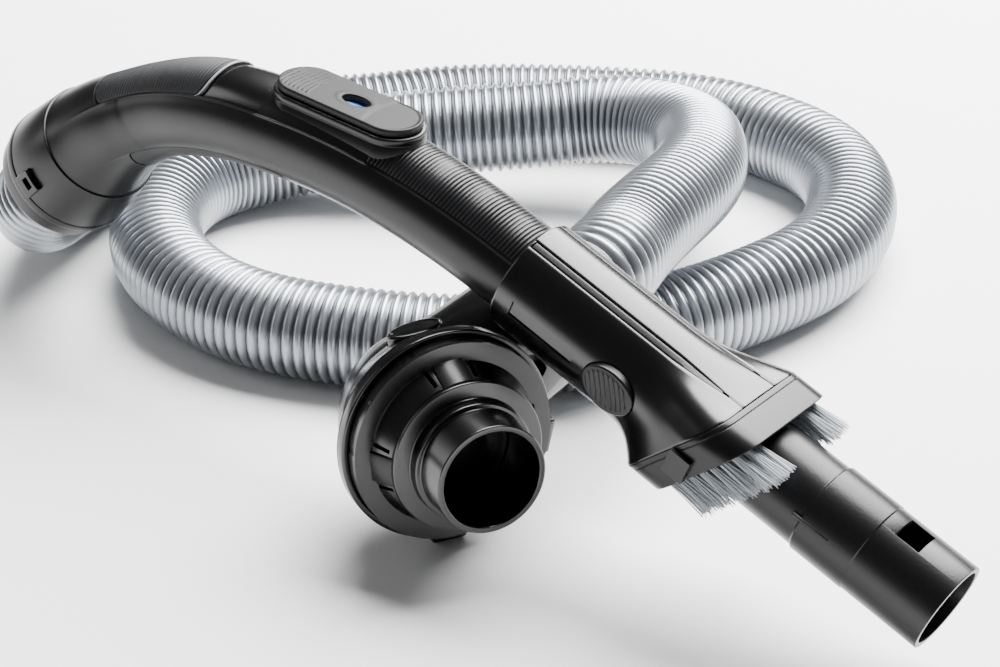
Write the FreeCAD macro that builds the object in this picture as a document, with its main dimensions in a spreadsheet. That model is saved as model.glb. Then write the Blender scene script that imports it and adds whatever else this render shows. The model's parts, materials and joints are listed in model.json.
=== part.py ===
import FreeCAD, Part

# Hose assembly of a canister vacuum cleaner: curved handle with a sliding dusting brush,
# corrugated suction hose and swivelling canister connector.  Millimetres, +Z up, standing on z = 0.
# +X runs along the handle towards its wand end; the handle lies in one upright plane.

import math
import os

import Sketcher

V = FreeCAD.Vector
ROT = FreeCAD.Rotation
PLACE = FreeCAD.Placement

doc = FreeCAD.newDocument("hose_assembly")

# ---------------------------------------------------------------- driving dimensions (mm, degrees)
SIZES = {
    # where the assembly's reference point lies in the layout that the routes below are given in
    "origin_x": 11.52, "origin_y": -63.2,
    # handle centreline: straight wand end, long bow, tight bow, straight socket
    "handle_y": -50.0, "joint_x": 44.7, "joint_z": 107.3, "wand_tilt": 21.7, "bow_radius": 330.0,
    "hook_radius": 140.0, "hook_turn": 42.0,
    # handle shell
    "tip_radius": 17.6, "waist_radius": 18.0, "grip_radius": 19.6, "seam_radius": 25.0,
    "shell_wall": 2.6, "skin_depth": 1.4, "cover_depth": 3.4, "seam_height": 11.0,
    "under_height": 11.5, "shell_front": 22.0,
    # air duct and wand tube
    "duct_radius": 14.2, "duct_bore": 12.8, "wand_radius": 17.4, "wand_rear_radius": 16.9,
    "wand_bore": 15.2, "wand_len": 202.0, "wand_step": 146.5, "seat_end": 169.0, "window_len": 10.0,
    "window_width": 11.5, "window_edge": 17.0, "rib_radius": 18.0, "seat_radius": 17.7, "rib_len": 16.0,
    "rib_width": 1.4, "rib_start": 143.0, "rib_angle": 75.0,
    # hose socket, end ring and swivelling cuff
    "socket_rear": 25.8, "socket_radius": 28.3, "socket_end": 24.0, "socket_bore": 25.4,
    "socket_floor": 2.0, "nipple_len": 16.0, "nipple_wall": 1.6, "step_z": 12.0,
    "step_bore": 23.4, "end_ring_radius": 28.5, "ring_len": 4.0, "ring_bore": 24.4,
    "tail_radius": 24.1, "cuff_radius": 26.4, "cuff_len": 8.5,
    "fit_gap": 0.3, "snap_width": 10.0,
    # control pod
    "pod_x": -34.3, "pod_tilt": 5.5, "pod_len": 68.0, "pod_width": 26.0, "pod_top": 20.2,
    "pod_wall": 2.0, "deck": 1.8, "slider_len": 65.0, "slider_width": 23.2, "slider_thick": 2.9,
    "slide_travel": 10.0, "lens_len": 22.0, "lens_width": 9.0, "eye_x": 3.0, "eye_len": 12.5,
    "eye_width": 7.0, "stem_len": 4.0, "stem_width": 3.0, "stem_x": -19.0, "valve_len": 12.0,
    "valve_width": 10.0, "valve_thick": 1.3, "valve_low": 15.2, "pocket_len": 30.0,
    "pocket_width": 14.0, "lens_x": -2.0, "lens_thick": 1.1, "bleed_radius": 2.5,
    # brush sleeve
    "sleeve_rear": 9.0, "sleeve_radius": 22.0, "sleeve_wall": 2.0, "sleeve_lip": 18.4,
    "flare_start": 66.0, "collar_rear": 95.6, "collar_front": 109.6, "collar_half": 29.5,
    "collar_height": 22.2, "collar_corner": 12.0, "collar_wall": 2.2, "lean": 30.0,
    "strip_width": 3.4, "strip_angle": 24.5, "strip_start": 10.0,
    "strip_len": 80.0, "strip_depth": 0.8, "button_x": 64.5, "button_len": 23.0,
    "button_height": 17.0, "button_in": 19.4, "button_out": 23.6,
    "slot_x": 17.0, "slot_len": 30.0, "slot_height": 6.0, "slot_depth": 1.0, "carrier_thick": 6.0,
    "carrier_bore": 18.4, "tuft_radius": 1.7, "tuft_len": 17.0, "tuft_seat": 4.0,
    "clip_len": 9.0, "clip_height": 10.0, "clip_thick": 2.0,
    # connector
    "mouth_x": 39.9, "mouth_y": -82.6, "mouth_z": 45.84, "axis_heading": -26.6, "axis_pitch": 3.4,
    "mouth_radius": 42.1, "shoulder_radius": 38.0, "dome_radius": 34.5, "shoulder_z": 12.0,
    "dome_z": 20.0, "dome_back": 50.0, "housing_wall": 2.5, "cross_z": 24.0, "neck_base": 28.0,
    "neck_end": 25.5, "neck_len": 60.0, "neck_angle": 23.4, "neck_lean": 5.6, "floor_z": 6.0,
    "floor_thick": 1.8, "mouth_ring_len": 5.0, "lug_rise": 3.1, "lug_len": 12.0,
    "lug_width": 14.0, "cage_gap": 2.1, "cage_inset": 1.2, "cage_wall": 1.8, "cage_rear": 5.4,
    "flange_z": 16.0,
    "flange_thick": 3.0, "flange_radius": 29.7, "step_radius": 23.3, "step_len": 5.0,
    "spigot_radius": 21.3, "spigot_bore": 18.9, "spigot_end": 39.0, "sleeve_bore": 19.4,
    "sleeve_end": 11.0, "sleeve_back": 2.4,
    "elbow_bore": 17.0, "elbow_radius": 18.4, "elbow_bend": 22.0, "elbow_front": 10.0,
    "catch_radius": 23.6, "catch_wall": 1.6, "press_len": 22.0, "press_width": 11.0,
    "press_z": 18.0, "press_in": 31.6, "press_out": 38.0, "press_angle": 96.0,
    "finger_width": 12.0, "finger_rise": 1.2, "finger_len": 20.0, "slit_angle": 15.5,
    # hose
    "hose_radius": 21.0, "hose_wall": 1.6, "neck_seat": 14.0,
}

sheet = doc.addObject("Spreadsheet::Sheet", "Sizes")
for line, (name, value) in enumerate(SIZES.items(), start=1):
    sheet.set(f"A{line}", name)
    sheet.set(f"B{line}", str(value))
    sheet.setAlias(f"B{line}", name)
doc.recompute()


def size(name):
    """The value of a named cell."""
    return float(sheet.get(name))


# ---------------------------------------------------------------- frames
TILT = math.radians(size("wand_tilt"))
HANDLE = PLACE(V(-size("origin_x"), size("handle_y") - size("origin_y"), 0), ROT())
JOINT = V(size("joint_x"), 0, size("joint_z"))
WAND = HANDLE * PLACE(JOINT, ROT(V(0, 1, 0), size("wand_tilt")))

BOW = size("bow_radius")
HOOK = size("hook_radius")
BOW_CENTRE = JOINT - V(math.sin(TILT), 0, math.cos(TILT)) * BOW
APEX = BOW_CENTRE + V(0, 0, BOW)
HOOK_CENTRE = APEX - V(0, 0, HOOK)


def bow_point(angle, out=0.0):
    """A point of the long bow, angle in radians from its top towards the wand."""
    return BOW_CENTRE + V(math.sin(angle), 0, math.cos(angle)) * (BOW + out)


def hook_point(angle, out=0.0):
    """A point of the tight bow, angle in radians from its top towards the hose."""
    return HOOK_CENTRE + V(-math.sin(angle), 0, math.cos(angle)) * (HOOK + out)


def wand_point(along, out=0.0):
    """A point of the straight wand end, along it from the joint with the bow."""
    turn = ROT(V(0, 1, 0), size("wand_tilt"))
    return JOINT + turn.multVec(V(along, 0, out))


HOOK_END = math.radians(size("hook_turn"))
SEAM = hook_point(HOOK_END)
SOCKET_DIR = V(-math.cos(HOOK_END), 0, -math.sin(HOOK_END))
SOCKET_ROT = ROT(V(0, 1, 0), -90 - size("hook_turn"))
SOCKET = HANDLE * PLACE(SEAM, SOCKET_ROT)

pod_angle = math.asin((size("pod_x") - APEX.x) / BOW)
POD = HANDLE * PLACE(bow_point(pod_angle), ROT(V(0, 1, 0), size("pod_tilt")))

heading = math.radians(size("axis_heading"))
pitch = math.radians(size("axis_pitch"))
AXIS = V(math.cos(pitch) * math.cos(heading), math.cos(pitch) * math.sin(heading), math.sin(pitch))
SIDE = V(-math.sin(heading), math.cos(heading), 0)
RISE = AXIS.cross(SIDE)
MOUTH_POINT = V(size("mouth_x") - size("origin_x"), size("mouth_y") - size("origin_y"),
                size("mouth_z"))
MOUTH = PLACE(MOUTH_POINT, ROT(SIDE, RISE, AXIS, "ZXY"))

neck_a = math.radians(size("neck_angle"))
neck_b = math.radians(size("neck_lean"))
NECK_DIR = V(math.cos(neck_b) * math.cos(neck_a), math.cos(neck_b) * math.sin(neck_a),
             -math.sin(neck_b))
NECK_BASE = V(0, 0, -size("cross_z"))
NECK_END = MOUTH.multVec(NECK_BASE + NECK_DIR * size("neck_len"))
NECK_WORLD = MOUTH.Rotation.multVec(NECK_DIR)

parts = []


def keep(obj, label, place=None):
    """Names a finished sub-part, puts it in its place and lists it for export."""
    obj.Label = label
    if place is not None:
        obj.Placement = place
    parts.append(obj)
    return obj


def feature(label, shape, place=None):
    """A sub-part whose shape is worked out here."""
    obj = doc.addObject("Part::Feature", label)
    obj.Shape = shape
    return keep(obj, label, (place or PLACE()) * shape.Placement)


def bound(kind, name, place=None, **cells):
    """A Part primitive whose properties follow expressions on the sheet."""
    obj = doc.addObject(kind, name)
    if place is not None:
        obj.Placement = place
    for prop, rule in cells.items():
        obj.setExpression(prop, rule)
    return obj


def cut(name, base, tool):
    """One object of the document with another taken out of it."""
    obj = doc.addObject("Part::Cut", name)
    obj.Base = base
    obj.Tool = tool
    return obj


def ring(label, outer, inner, length, place):
    """A plain ring from z = 0 of its frame, its radii and length bound to the sheet."""
    rim = bound("Part::Cylinder", label + "_rim", Radius=outer, Height=length)
    hole = bound("Part::Cylinder", label + "_hole", PLACE(V(0, 0, -1), ROT()), Radius=inner,
                 Height=f"{length} + 2")
    return keep(cut(label, rim, hole), label, place)


def turned_body(label, corners, place):
    """A PartDesign body revolved about its Z axis; corners are (radius, height) expressions."""
    body = doc.addObject("PartDesign::Body", label)
    sketch = body.newObject("Sketcher::SketchObject", label + "_profile")
    plane = [f for f in body.Origin.OriginFeatures if f.Role == "XZ_Plane"][0]
    sketch.AttachmentSupport = [(plane, "")]
    sketch.MapMode = "FlatFace"
    count = len(corners)
    values = [(value_of(a), value_of(b)) for a, b in corners]
    for i in range(count):
        (x0, y0), (x1, y1) = values[i], values[(i + 1) % count]
        sketch.addGeometry(Part.LineSegment(V(x0, y0, 0), V(x1, y1, 0)), False)
    for i in range(count):
        sketch.addConstraint(Sketcher.Constraint("Coincident", i, 2, (i + 1) % count, 1))
    for i, ((rx, rz), (x, z)) in enumerate(zip(corners, values)):
        for axis, rule, here in (("DistanceX", rx, x), ("DistanceY", rz, z)):
            number = sketch.addConstraint(Sketcher.Constraint(axis, -1, 1, i, 1, here))
            sketch.setExpression(f"Constraints[{number}]", rule)
    turn = body.newObject("PartDesign::Revolution", label + "_turn")
    turn.Profile = sketch
    turn.ReferenceAxis = (sketch, ["V_Axis"])
    turn.Angle = 360.0
    body.Tip = turn
    return keep(body, label, place)


def value_of(rule):
    """The number that an expression on the sheet gives."""
    total = 0.0
    sign = 1.0
    for token in rule.split():
        if token in "+-":
            sign = 1.0 if token == "+" else -1.0
            continue
        name = token.replace("Sizes.", "")
        lead = -1.0 if name.startswith("-") else 1.0
        name = name.lstrip("-")
        total += sign * lead * (size(name) if name in SIZES else float(name))
        sign = 1.0
    return total


def tube(radius, start, length, place=None, bore=0.0):
    """A round bar or pipe along the Z axis of a frame."""
    bar = Part.makeCylinder(radius, length, V(0, 0, start))
    if bore > 0:
        bar = bar.cut(Part.makeCylinder(bore, length + 2, V(0, 0, start - 1)))
    if place is not None:
        bar.Placement = place
    return bar


def stadium(length, width, low, high):
    """A round-ended plate lying along X, between two heights."""
    half = (length - width) / 2
    mid = Part.makeBox(2 * half, width, high - low, V(-half, -width / 2, low))
    ends = [Part.makeCylinder(width / 2, high - low, V(side * half, 0, low)) for side in (-1, 1)]
    return mid.fuse(ends).removeSplitter()


def oval(length, width, low, high):
    """An elliptical plate lying along X, between two heights."""
    edge = Part.Ellipse(V(0, 0, low), length / 2, width / 2).toShape()
    return Part.Face(Part.Wire(edge)).extrude(V(0, 0, high - low))


def closed_section(points):
    """A smooth closed wire through points."""
    spline = Part.BSplineCurve()
    spline.interpolate(Points=points, PeriodicFlag=True)
    return Part.Wire(spline.toShape())


# ---------------------------------------------------------------- curved handle body
# (angle round the bow in radians, radius) from the wand end to the hose end
ALONG_TUBE = 0
ALONG_BOW = 1
ALONG_HOOK = 2
bow_turn = TILT
seam = size("seam_radius")
waist = size("waist_radius")
grip = size("grip_radius")
STATIONS = [
    (ALONG_TUBE, size("shell_front"), size("tip_radius")),
    (ALONG_TUBE, 0.0, waist),
    (ALONG_BOW, 0.82 * bow_turn, waist + 0.2),
    (ALONG_BOW, 0.40 * bow_turn, waist + 0.6),
    (ALONG_BOW, 0.0, grip),
    (ALONG_HOOK, 0.29 * HOOK_END, grip + 0.1),
    (ALONG_HOOK, 0.52 * HOOK_END, grip - 0.4),
    (ALONG_HOOK, 0.72 * HOOK_END, grip + 0.6),
    (ALONG_HOOK, 0.87 * HOOK_END, seam - 2.4),
    (ALONG_HOOK, 1.0, seam),
]


def station(kind, where):
    """Centre and outward direction of the handle's centreline at a station."""
    if kind == ALONG_TUBE:
        return wand_point(where), V(math.cos(TILT), 0, -math.sin(TILT))
    if kind == ALONG_BOW:
        return bow_point(where), V(math.cos(where), 0, -math.sin(where))
    turn = HOOK_END if where == 1.0 else where
    return hook_point(turn), V(math.cos(turn), 0, math.sin(turn))


def body_of(inset):
    """The handle's curved body, its radius smaller by an inset."""
    wires = []
    for kind, where, radius in STATIONS:
        centre, along = station(kind, where)
        wires.append(Part.Wire(Part.makeCircle(radius - inset, centre, along)))
    return Part.makeLoft(wires, True, False)


def band(low, high, start, end):
    """The part of the upright plane between two offsets from the centreline and two arc lengths,
    as wide as the handle."""
    steps = 24
    inner = []
    outer = []
    for i in range(steps + 1):
        s = start + (end - start) * i / steps
        inner.append(centre_at(s, low))
        outer.append(centre_at(s, high))
    loop = inner + outer[::-1]
    loop.append(loop[0])
    flat = Part.Face(Part.makePolygon([p + V(0, -50, 0) for p in loop]))
    return flat.extrude(V(0, 100, 0))


def centre_at(s, out=0.0):
    """A point at arc length s from the joint, minus towards the hose, raised by out."""
    if s >= 0:
        return wand_point(s, out)
    if -s <= BOW * TILT:
        return bow_point(TILT + s / BOW, out)
    return hook_point((-s - BOW * TILT) / HOOK, out)


skin = body_of(0)
under_skin = body_of(size("skin_depth"))
cover_inside = body_of(size("cover_depth"))
inside = body_of(size("shell_wall"))
rise = size("seam_height")
END_S = -(BOW * TILT + HOOK * HOOK_END)

top_band = band(rise, 40, -203.0, -113.0)
grip_band = band(rise, 40, -200.0, -139.5)
rim_band = band(rise, 40, -139.5, -137.0)
ribbed_band = band(rise, 40, -62.0, 9.0)
under_band = band(-40, -size("under_height"), -198.0, -98.0)

top_cover = under_skin.common(top_band).cut(cover_inside)
shell = skin.cut(inside).cut(top_band).cut(ribbed_band)
shell = shell.cut(under_band.cut(under_skin))
ribbed = skin.common(ribbed_band).cut(inside)
grip_insert = skin.common(grip_band).cut(under_skin)
grip_rim = skin.common(rim_band).cut(under_skin)
under_insert = skin.common(under_band).cut(under_skin)

# pocket for the suction valve under the pod
POD_LOCAL = PLACE(bow_point(pod_angle), ROT(V(0, 1, 0), size("pod_tilt")))


def in_pod(shape):
    """A shape given in the pod's frame, moved into the handle's."""
    shape.Placement = POD_LOCAL * shape.Placement
    return shape


pocket = stadium(size("pocket_len"), size("pocket_width"), size("valve_low") - 0.8, 30)
pocket.translate(V(size("stem_x"), 0, 0))
shell = shell.cut(in_pod(pocket))

feature("handle_shell", shell, HANDLE)
feature("handle_top_cover", top_cover, HANDLE)
feature("top_grip_insert", grip_insert, HANDLE)
feature("grip_end_rim", grip_rim, HANDLE)
feature("under_grip_insert", under_insert, HANDLE)
feature("ribbed_cover", ribbed, HANDLE)

# ---------------------------------------------------------------- air duct inside the handle
duct_radius = size("duct_radius")
duct_bore = size("duct_bore")


def swept(radius, start, end):
    """A round bar along the handle's centreline."""
    path = []
    front = max(start, 0.0)
    if front > 0:
        path.append(Part.LineSegment(centre_at(front), centre_at(0)).toShape())
    bow_end = -BOW * TILT
    path.append(Part.Arc(centre_at(0), centre_at(bow_end / 2), centre_at(bow_end)).toShape())
    path.append(Part.Arc(centre_at(bow_end), centre_at((bow_end + end) / 2), centre_at(end)).toShape())
    along = V(math.cos(TILT), 0, -math.sin(TILT))
    circle = Part.Wire(Part.makeCircle(radius, centre_at(front), along))
    return Part.Wire(path).makePipeShell([circle], True, False)


duct = swept(duct_radius, size("shell_front"), END_S)
ALONG = PLACE(JOINT, ROT(V(0, 1, 0), 90 + size("wand_tilt")))
nose = tube(size("wand_bore"), size("shell_front"), 16, ALONG)
for s in (size("shell_front") - 2, -60.0, -130.0, -205.0):
    hoop = inside.common(band(-40, 40, s - 3, s))
    duct = duct.fuse(hoop.cut(top_cover))
duct = duct.fuse(nose)
bleed = tube(size("bleed_radius"), 5, 20, PLACE(V(size("stem_x") + 6, 0, 0), ROT()))
hollow = swept(duct_bore, size("shell_front"), END_S)
nose_bore = tube(duct_bore, 10, 40, ALONG)
duct = duct.cut(hollow).cut(nose_bore).cut(in_pod(bleed))
feature("handle_duct", duct, HANDLE)

# ---------------------------------------------------------------- hose socket and swivelling cuff
turned_body("hose_socket", [
    ("Sizes.duct_radius", "0"), ("Sizes.socket_rear", "0"),
    ("Sizes.socket_radius", "Sizes.socket_end"), ("Sizes.socket_bore", "Sizes.socket_end"),
    ("Sizes.socket_bore", "Sizes.step_z"), ("Sizes.step_bore", "Sizes.step_z"),
    ("Sizes.step_bore", "Sizes.socket_floor"),
    ("Sizes.hose_radius - Sizes.hose_wall", "Sizes.socket_floor"),
    ("Sizes.hose_radius - Sizes.hose_wall", "Sizes.nipple_len"),
    ("Sizes.hose_radius - Sizes.hose_wall - Sizes.nipple_wall", "Sizes.nipple_len"),
    ("Sizes.hose_radius - Sizes.hose_wall - Sizes.nipple_wall", "Sizes.socket_floor"),
    ("Sizes.duct_radius", "Sizes.socket_floor")], SOCKET)
ring("socket_end_ring", "Sizes.end_ring_radius", "Sizes.ring_bore", "Sizes.ring_len",
     SOCKET * PLACE(V(0, 0, size("socket_end")), ROT()))
turned_body("swivel_cuff", [
    ("Sizes.hose_radius + Sizes.fit_gap", "Sizes.socket_end - 4"),
    ("Sizes.socket_bore - Sizes.fit_gap", "Sizes.socket_end - 4"),
    ("Sizes.socket_bore - Sizes.fit_gap", "Sizes.socket_end - Sizes.fit_gap"),
    ("Sizes.tail_radius", "Sizes.socket_end - Sizes.fit_gap"),
    ("Sizes.tail_radius", "Sizes.socket_end + Sizes.ring_len + Sizes.fit_gap"),
    ("Sizes.cuff_radius", "Sizes.socket_end + Sizes.ring_len + Sizes.fit_gap"),
    ("Sizes.cuff_radius", "Sizes.socket_end + Sizes.ring_len + Sizes.cuff_len"),
    ("Sizes.hose_radius + Sizes.fit_gap",
     "Sizes.socket_end + Sizes.ring_len + Sizes.cuff_len")], SOCKET)

end = size("socket_end")
snap = Part.makeBox(size("snap_width"), 6, 9, V(-size("snap_width") / 2, -30.5, end - 9))
cone = Part.makeCone(size("socket_rear"), size("socket_radius"), end)
snap = snap.cut(cone).common(tube(29.6, end - 12, 20))
snap = snap.cut(Part.makeBox(5, 8, 3, V(-2.5, -32, end - 7)))
feature("socket_snap_clip", snap, SOCKET)

# ---------------------------------------------------------------- control pod and suction slider
top = size("pod_top")
half_travel = size("slide_travel") / 2
wall = size("pod_wall")
pod = stadium(size("pod_len"), size("pod_width"), 8, top)
pod = pod.cut(stadium(size("pod_len") - 2 * wall, size("pod_width") - 2 * wall, 7, top - size("deck")))
slot = Part.makeBox(size("stem_len") + 2 * half_travel + 0.6, size("stem_width") + 0.6, 6,
                    V(size("stem_x") - size("stem_len") / 2 - 2 * half_travel - 0.3,
                      -size("stem_width") / 2 - 0.3, top - 4))
lens_hole = oval(size("lens_len"), size("lens_width"), top - size("lens_thick"), top + 2)
lens_hole.translate(V(size("lens_x"), 0, 0))
pod = pod.cut(slot).cut(lens_hole)
body_here = skin.copy()
body_here.Placement = POD_LOCAL.inverse()
pod = pod.cut(body_here)
feature("control_pod", pod, POD)

lens = oval(size("lens_len"), size("lens_width"), top - size("lens_thick"), top - 0.05)
lens.translate(V(size("lens_x"), 0, 0))
feature("blue_indicator", lens, POD)

low = top + size("fit_gap")
high = low + size("slider_thick")
slider = stadium(size("slider_len"), size("slider_width"), low, high)
eye = oval(size("eye_len"), size("eye_width"), low - 1, high + 1)
eye.translate(V(size("eye_x"), 0, 0))
slider = slider.cut(eye)
valve_top = size("valve_low") + size("valve_thick")
stem = Part.makeBox(size("stem_len"), size("stem_width"), low - valve_top + 0.5,
                    V(size("stem_x") - size("stem_len") / 2, -size("stem_width") / 2, valve_top))
slider = slider.fuse(stem)
for i in range(4):
    rib = Part.makeBox(1.0, 13 - 1.5 * i, 0.9, V(-18.0 - 3 * i, -6.5 + 0.75 * i, high - 0.4))
    slider = slider.fuse(rib)
feature("suction_slider", slider, POD)

valve = bound("Part::Box", "bleed_valve_plate", Length="Sizes.valve_len", Width="Sizes.valve_width",
              Height="Sizes.valve_thick")
keep(valve, "bleed_valve_plate", POD * PLACE(
    V(size("stem_x") + 4 - size("valve_len") / 2, -size("valve_width") / 2, size("valve_low")), ROT()))

# ---------------------------------------------------------------- wand tube
turned = turned_body("wand_tube_turned", [
    ("Sizes.wand_bore", "Sizes.shell_front"), ("Sizes.wand_rear_radius", "Sizes.shell_front"),
    ("Sizes.wand_rear_radius", "Sizes.wand_step"), ("Sizes.seat_radius", "Sizes.wand_step"),
    ("Sizes.seat_radius", "Sizes.seat_end"), ("Sizes.wand_radius", "Sizes.seat_end"),
    ("Sizes.wand_radius", "Sizes.wand_len"), ("Sizes.wand_bore", "Sizes.wand_len")],
    PLACE(V(0, 0, 0), ROT(V(0, 1, 0), 90)))
parts.remove(turned)
window = bound("Part::Box", "wand_window",
               PLACE(V(size("wand_len") - size("window_edge") - size("window_len"),
                       -size("window_width") / 2, 8), ROT()),
               Length="Sizes.window_len", Width="Sizes.window_width", Height="Sizes.wand_radius")
pipe = cut("wand_tube_pipe", turned, window)
ribs = []
for i, side in enumerate((1, -1)):
    turn = PLACE(V(0, 0, 0), ROT(V(1, 0, 0), side * size("rib_angle")))
    base = size("wand_rear_radius") - 0.8
    place = turn * PLACE(V(size("rib_start"), -size("rib_width") / 2, base), ROT())
    ribs.append(bound("Part::Box", f"wand_rib_{i}", place, Length="Sizes.rib_len",
                      Width="Sizes.rib_width",
                      Height="Sizes.rib_radius - Sizes.wand_rear_radius + 0.8"))
ribbed_pipe = doc.addObject("Part::MultiFuse", "wand_tube")
ribbed_pipe.Shapes = [pipe] + ribs
keep(ribbed_pipe, "wand_tube", WAND)

# ---------------------------------------------------------------- sliding dusting brush
LEAN = math.tan(math.radians(size("lean")))
ROUND = size("sleeve_radius")
FLARE = size("flare_start")


def boxed(angle, inset):
    """A point of the collar's flat-sided section at an angle from the top, towards -Y."""
    half = size("collar_half") - inset
    tall = size("collar_height") - inset
    corner = size("collar_corner") - inset
    across = math.sin(angle)
    up = math.cos(angle)
    reach = min(half / max(abs(across), 1e-9), tall / max(abs(up), 1e-9))
    y = reach * abs(across)
    z = reach * abs(up)
    if y > half - corner and z > tall - corner:
        cy = half - corner
        cz = tall - corner
        along = abs(across) * cy + abs(up) * cz
        away = cy * cy + cz * cz - corner * corner
        reach = along + math.sqrt(along * along - away)
        y = reach * abs(across)
        z = reach * abs(up)
    return math.copysign(y, -across), math.copysign(z, up)


def flare_section(share, blend, inset):
    """A section of the brush body: share of the way from the round sleeve to the collar's rear
    plane, blend from round (0) to flat-sided (1)."""
    points = []
    for i in range(32):
        angle = 2 * math.pi * (i + 0.5) / 32
        by, bz = boxed(angle, inset)
        ry = -math.sin(angle) * (ROUND - inset)
        rz = math.cos(angle) * (ROUND - inset)
        y = ry + (by - ry) * blend
        z = rz + (bz - rz) * blend
        x = FLARE + (size("collar_rear") + LEAN * z - FLARE) * share
        points.append(V(x, y, z))
    return closed_section(points)


def collar_section(x, inset):
    """The collar's leaning section where its plane crosses the axis at x."""
    points = []
    for i in range(32):
        y, z = boxed(2 * math.pi * (i + 0.5) / 32, inset)
        points.append(V(x + LEAN * z, y, z))
    return closed_section(points)


def flare_body(inset):
    """The flaring part of the brush body."""
    sections = [(0.0, 0.0), (0.22, 0.04), (0.48, 0.26), (0.76, 0.64), (1.0, 1.0)]
    return Part.makeLoft([flare_section(s, b, inset) for s, b in sections], True, False)


def straight_body(inset, start):
    """The round part of the brush body, from a point of its axis to the flare."""
    round_end = Part.Face(flare_section(0.0, 0.0, inset))
    return round_end.extrude(V(start - FLARE, 0, 0))


def along_x(radius, start, end, bore=0.0):
    """A round bar or pipe along X."""
    return tube(radius, start, end - start, PLACE(V(0, 0, 0), ROT(V(0, 1, 0), 90)), bore)


wall = size("sleeve_wall")
rear = size("sleeve_rear")
sleeve_outside = straight_body(0, rear).fuse(flare_body(0))
sleeve_inside = straight_body(wall, rear + 3).fuse(flare_body(wall))
sleeve = sleeve_outside.cut(sleeve_inside).cut(along_x(size("sleeve_lip"), rear - 1, rear + 5))
depth = size("strip_depth")
sunk = straight_body(depth, rear - 1).fuse(flare_body(depth))
strips = []
for side in (1, -1):
    bar = Part.makeBox(size("strip_len"), size("strip_width"), 30,
                       V(size("strip_start"), -size("strip_width") / 2, 12))
    bar.Placement = PLACE(V(0, 0, 0), ROT(V(1, 0, 0), side * size("strip_angle")))
    strips.append(sleeve_outside.common(bar).cut(sunk))
openings = []
for side in (1, -1):
    turn = PLACE(V(size("button_x"), 0, 0), ROT(V(1, 0, 0), side * 90))
    gap = 2 * size("fit_gap")
    hole = oval(size("button_len") + gap, size("button_height") + gap, 14, 30)
    hole.Placement = turn
    openings.append(hole)
    recess = Part.makeBox(size("slot_len"), size("slot_height"), 6,
                          V(size("slot_x"), -size("slot_height") / 2, ROUND - size("slot_depth")))
    recess.Placement = PLACE(V(0, 0, 0), ROT(V(1, 0, 0), side * 88))
    openings.append(recess)
for tool in strips + openings:
    sleeve = sleeve.cut(tool)
feature("brush_sleeve", sleeve, WAND)
feature("sleeve_strip_near", strips[0], WAND)
feature("sleeve_strip_far", strips[1], WAND)

for name, side in (("near", 1), ("far", -1)):
    button = oval(size("button_len"), size("button_height"), size("button_in"), size("button_out"))
    feature(f"brush_button_{name}", button,
            WAND * PLACE(V(size("button_x"), 0, 0), ROT(V(1, 0, 0), side * 90)))

inset = size("collar_wall")
rear_x = size("collar_rear")
front_x = size("collar_front")
collar = Part.makeLoft([collar_section(rear_x, 0), collar_section(front_x, 0)], True, True)
collar_in = Part.makeLoft([collar_section(rear_x - 4, inset), collar_section(front_x + 4, inset)],
                          True, True)
feature("brush_collar", collar.cut(collar_in), WAND)

tufts = []
keep_in = size("collar_half") - inset - 3.2
keep_up = size("collar_height") - inset - 3.2
keep_corner = size("collar_corner") - inset - 3.2
spots = []
for i in range(7):
    z = (i - 3) * 4.6
    over = max(abs(z) - (keep_up - keep_corner), 0)
    y = keep_in - keep_corner + math.sqrt(max(keep_corner ** 2 - over ** 2, 1))
    spots.append((y, z))
    inner = (y - 4.4, z + 2.3)
    if i < 6 and math.hypot(*inner) > size("carrier_bore") + size("tuft_radius") + 0.3:
        spots.append(inner)
for z in (-keep_up + 0.8, keep_up - 0.8):
    spots.append((15.0, z))
    spots.append((19.8, z))
for side in (-1, 1):
    for y, z in spots:
        start = front_x + LEAN * z - size("tuft_seat")
        tuft = along_x(size("tuft_radius"), start, start + size("tuft_seat") + size("tuft_len"))
        tuft.translate(V(0, side * y, z))
        tufts.append(tuft)
carrier = Part.makeLoft([collar_section(front_x - size("carrier_thick"), inset),
                         collar_section(front_x, inset)], True, True)
carrier = carrier.cut(along_x(size("carrier_bore"), 60, 160))
for tuft in tufts:
    carrier = carrier.cut(tuft)
feature("bristle_carrier", carrier, WAND)
feature("bristle_tufts", Part.makeCompound(tufts), WAND)

for name, side in (("near", -1), ("far", 1)):
    thick = size("clip_thick")
    face = size("collar_half")
    tall = size("clip_height")
    low_y = -face - thick if side < 0 else face - 1.0
    clip = Part.makeBox(size("clip_len"), thick + 1.0, tall, V(rear_x + 2.6, low_y, -tall / 2))
    clip = clip.cut(collar)
    feature(f"collar_clip_{name}", clip, WAND)

# ---------------------------------------------------------------- canister connector
back = size("dome_back")
brim = size("mouth_radius")


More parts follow.
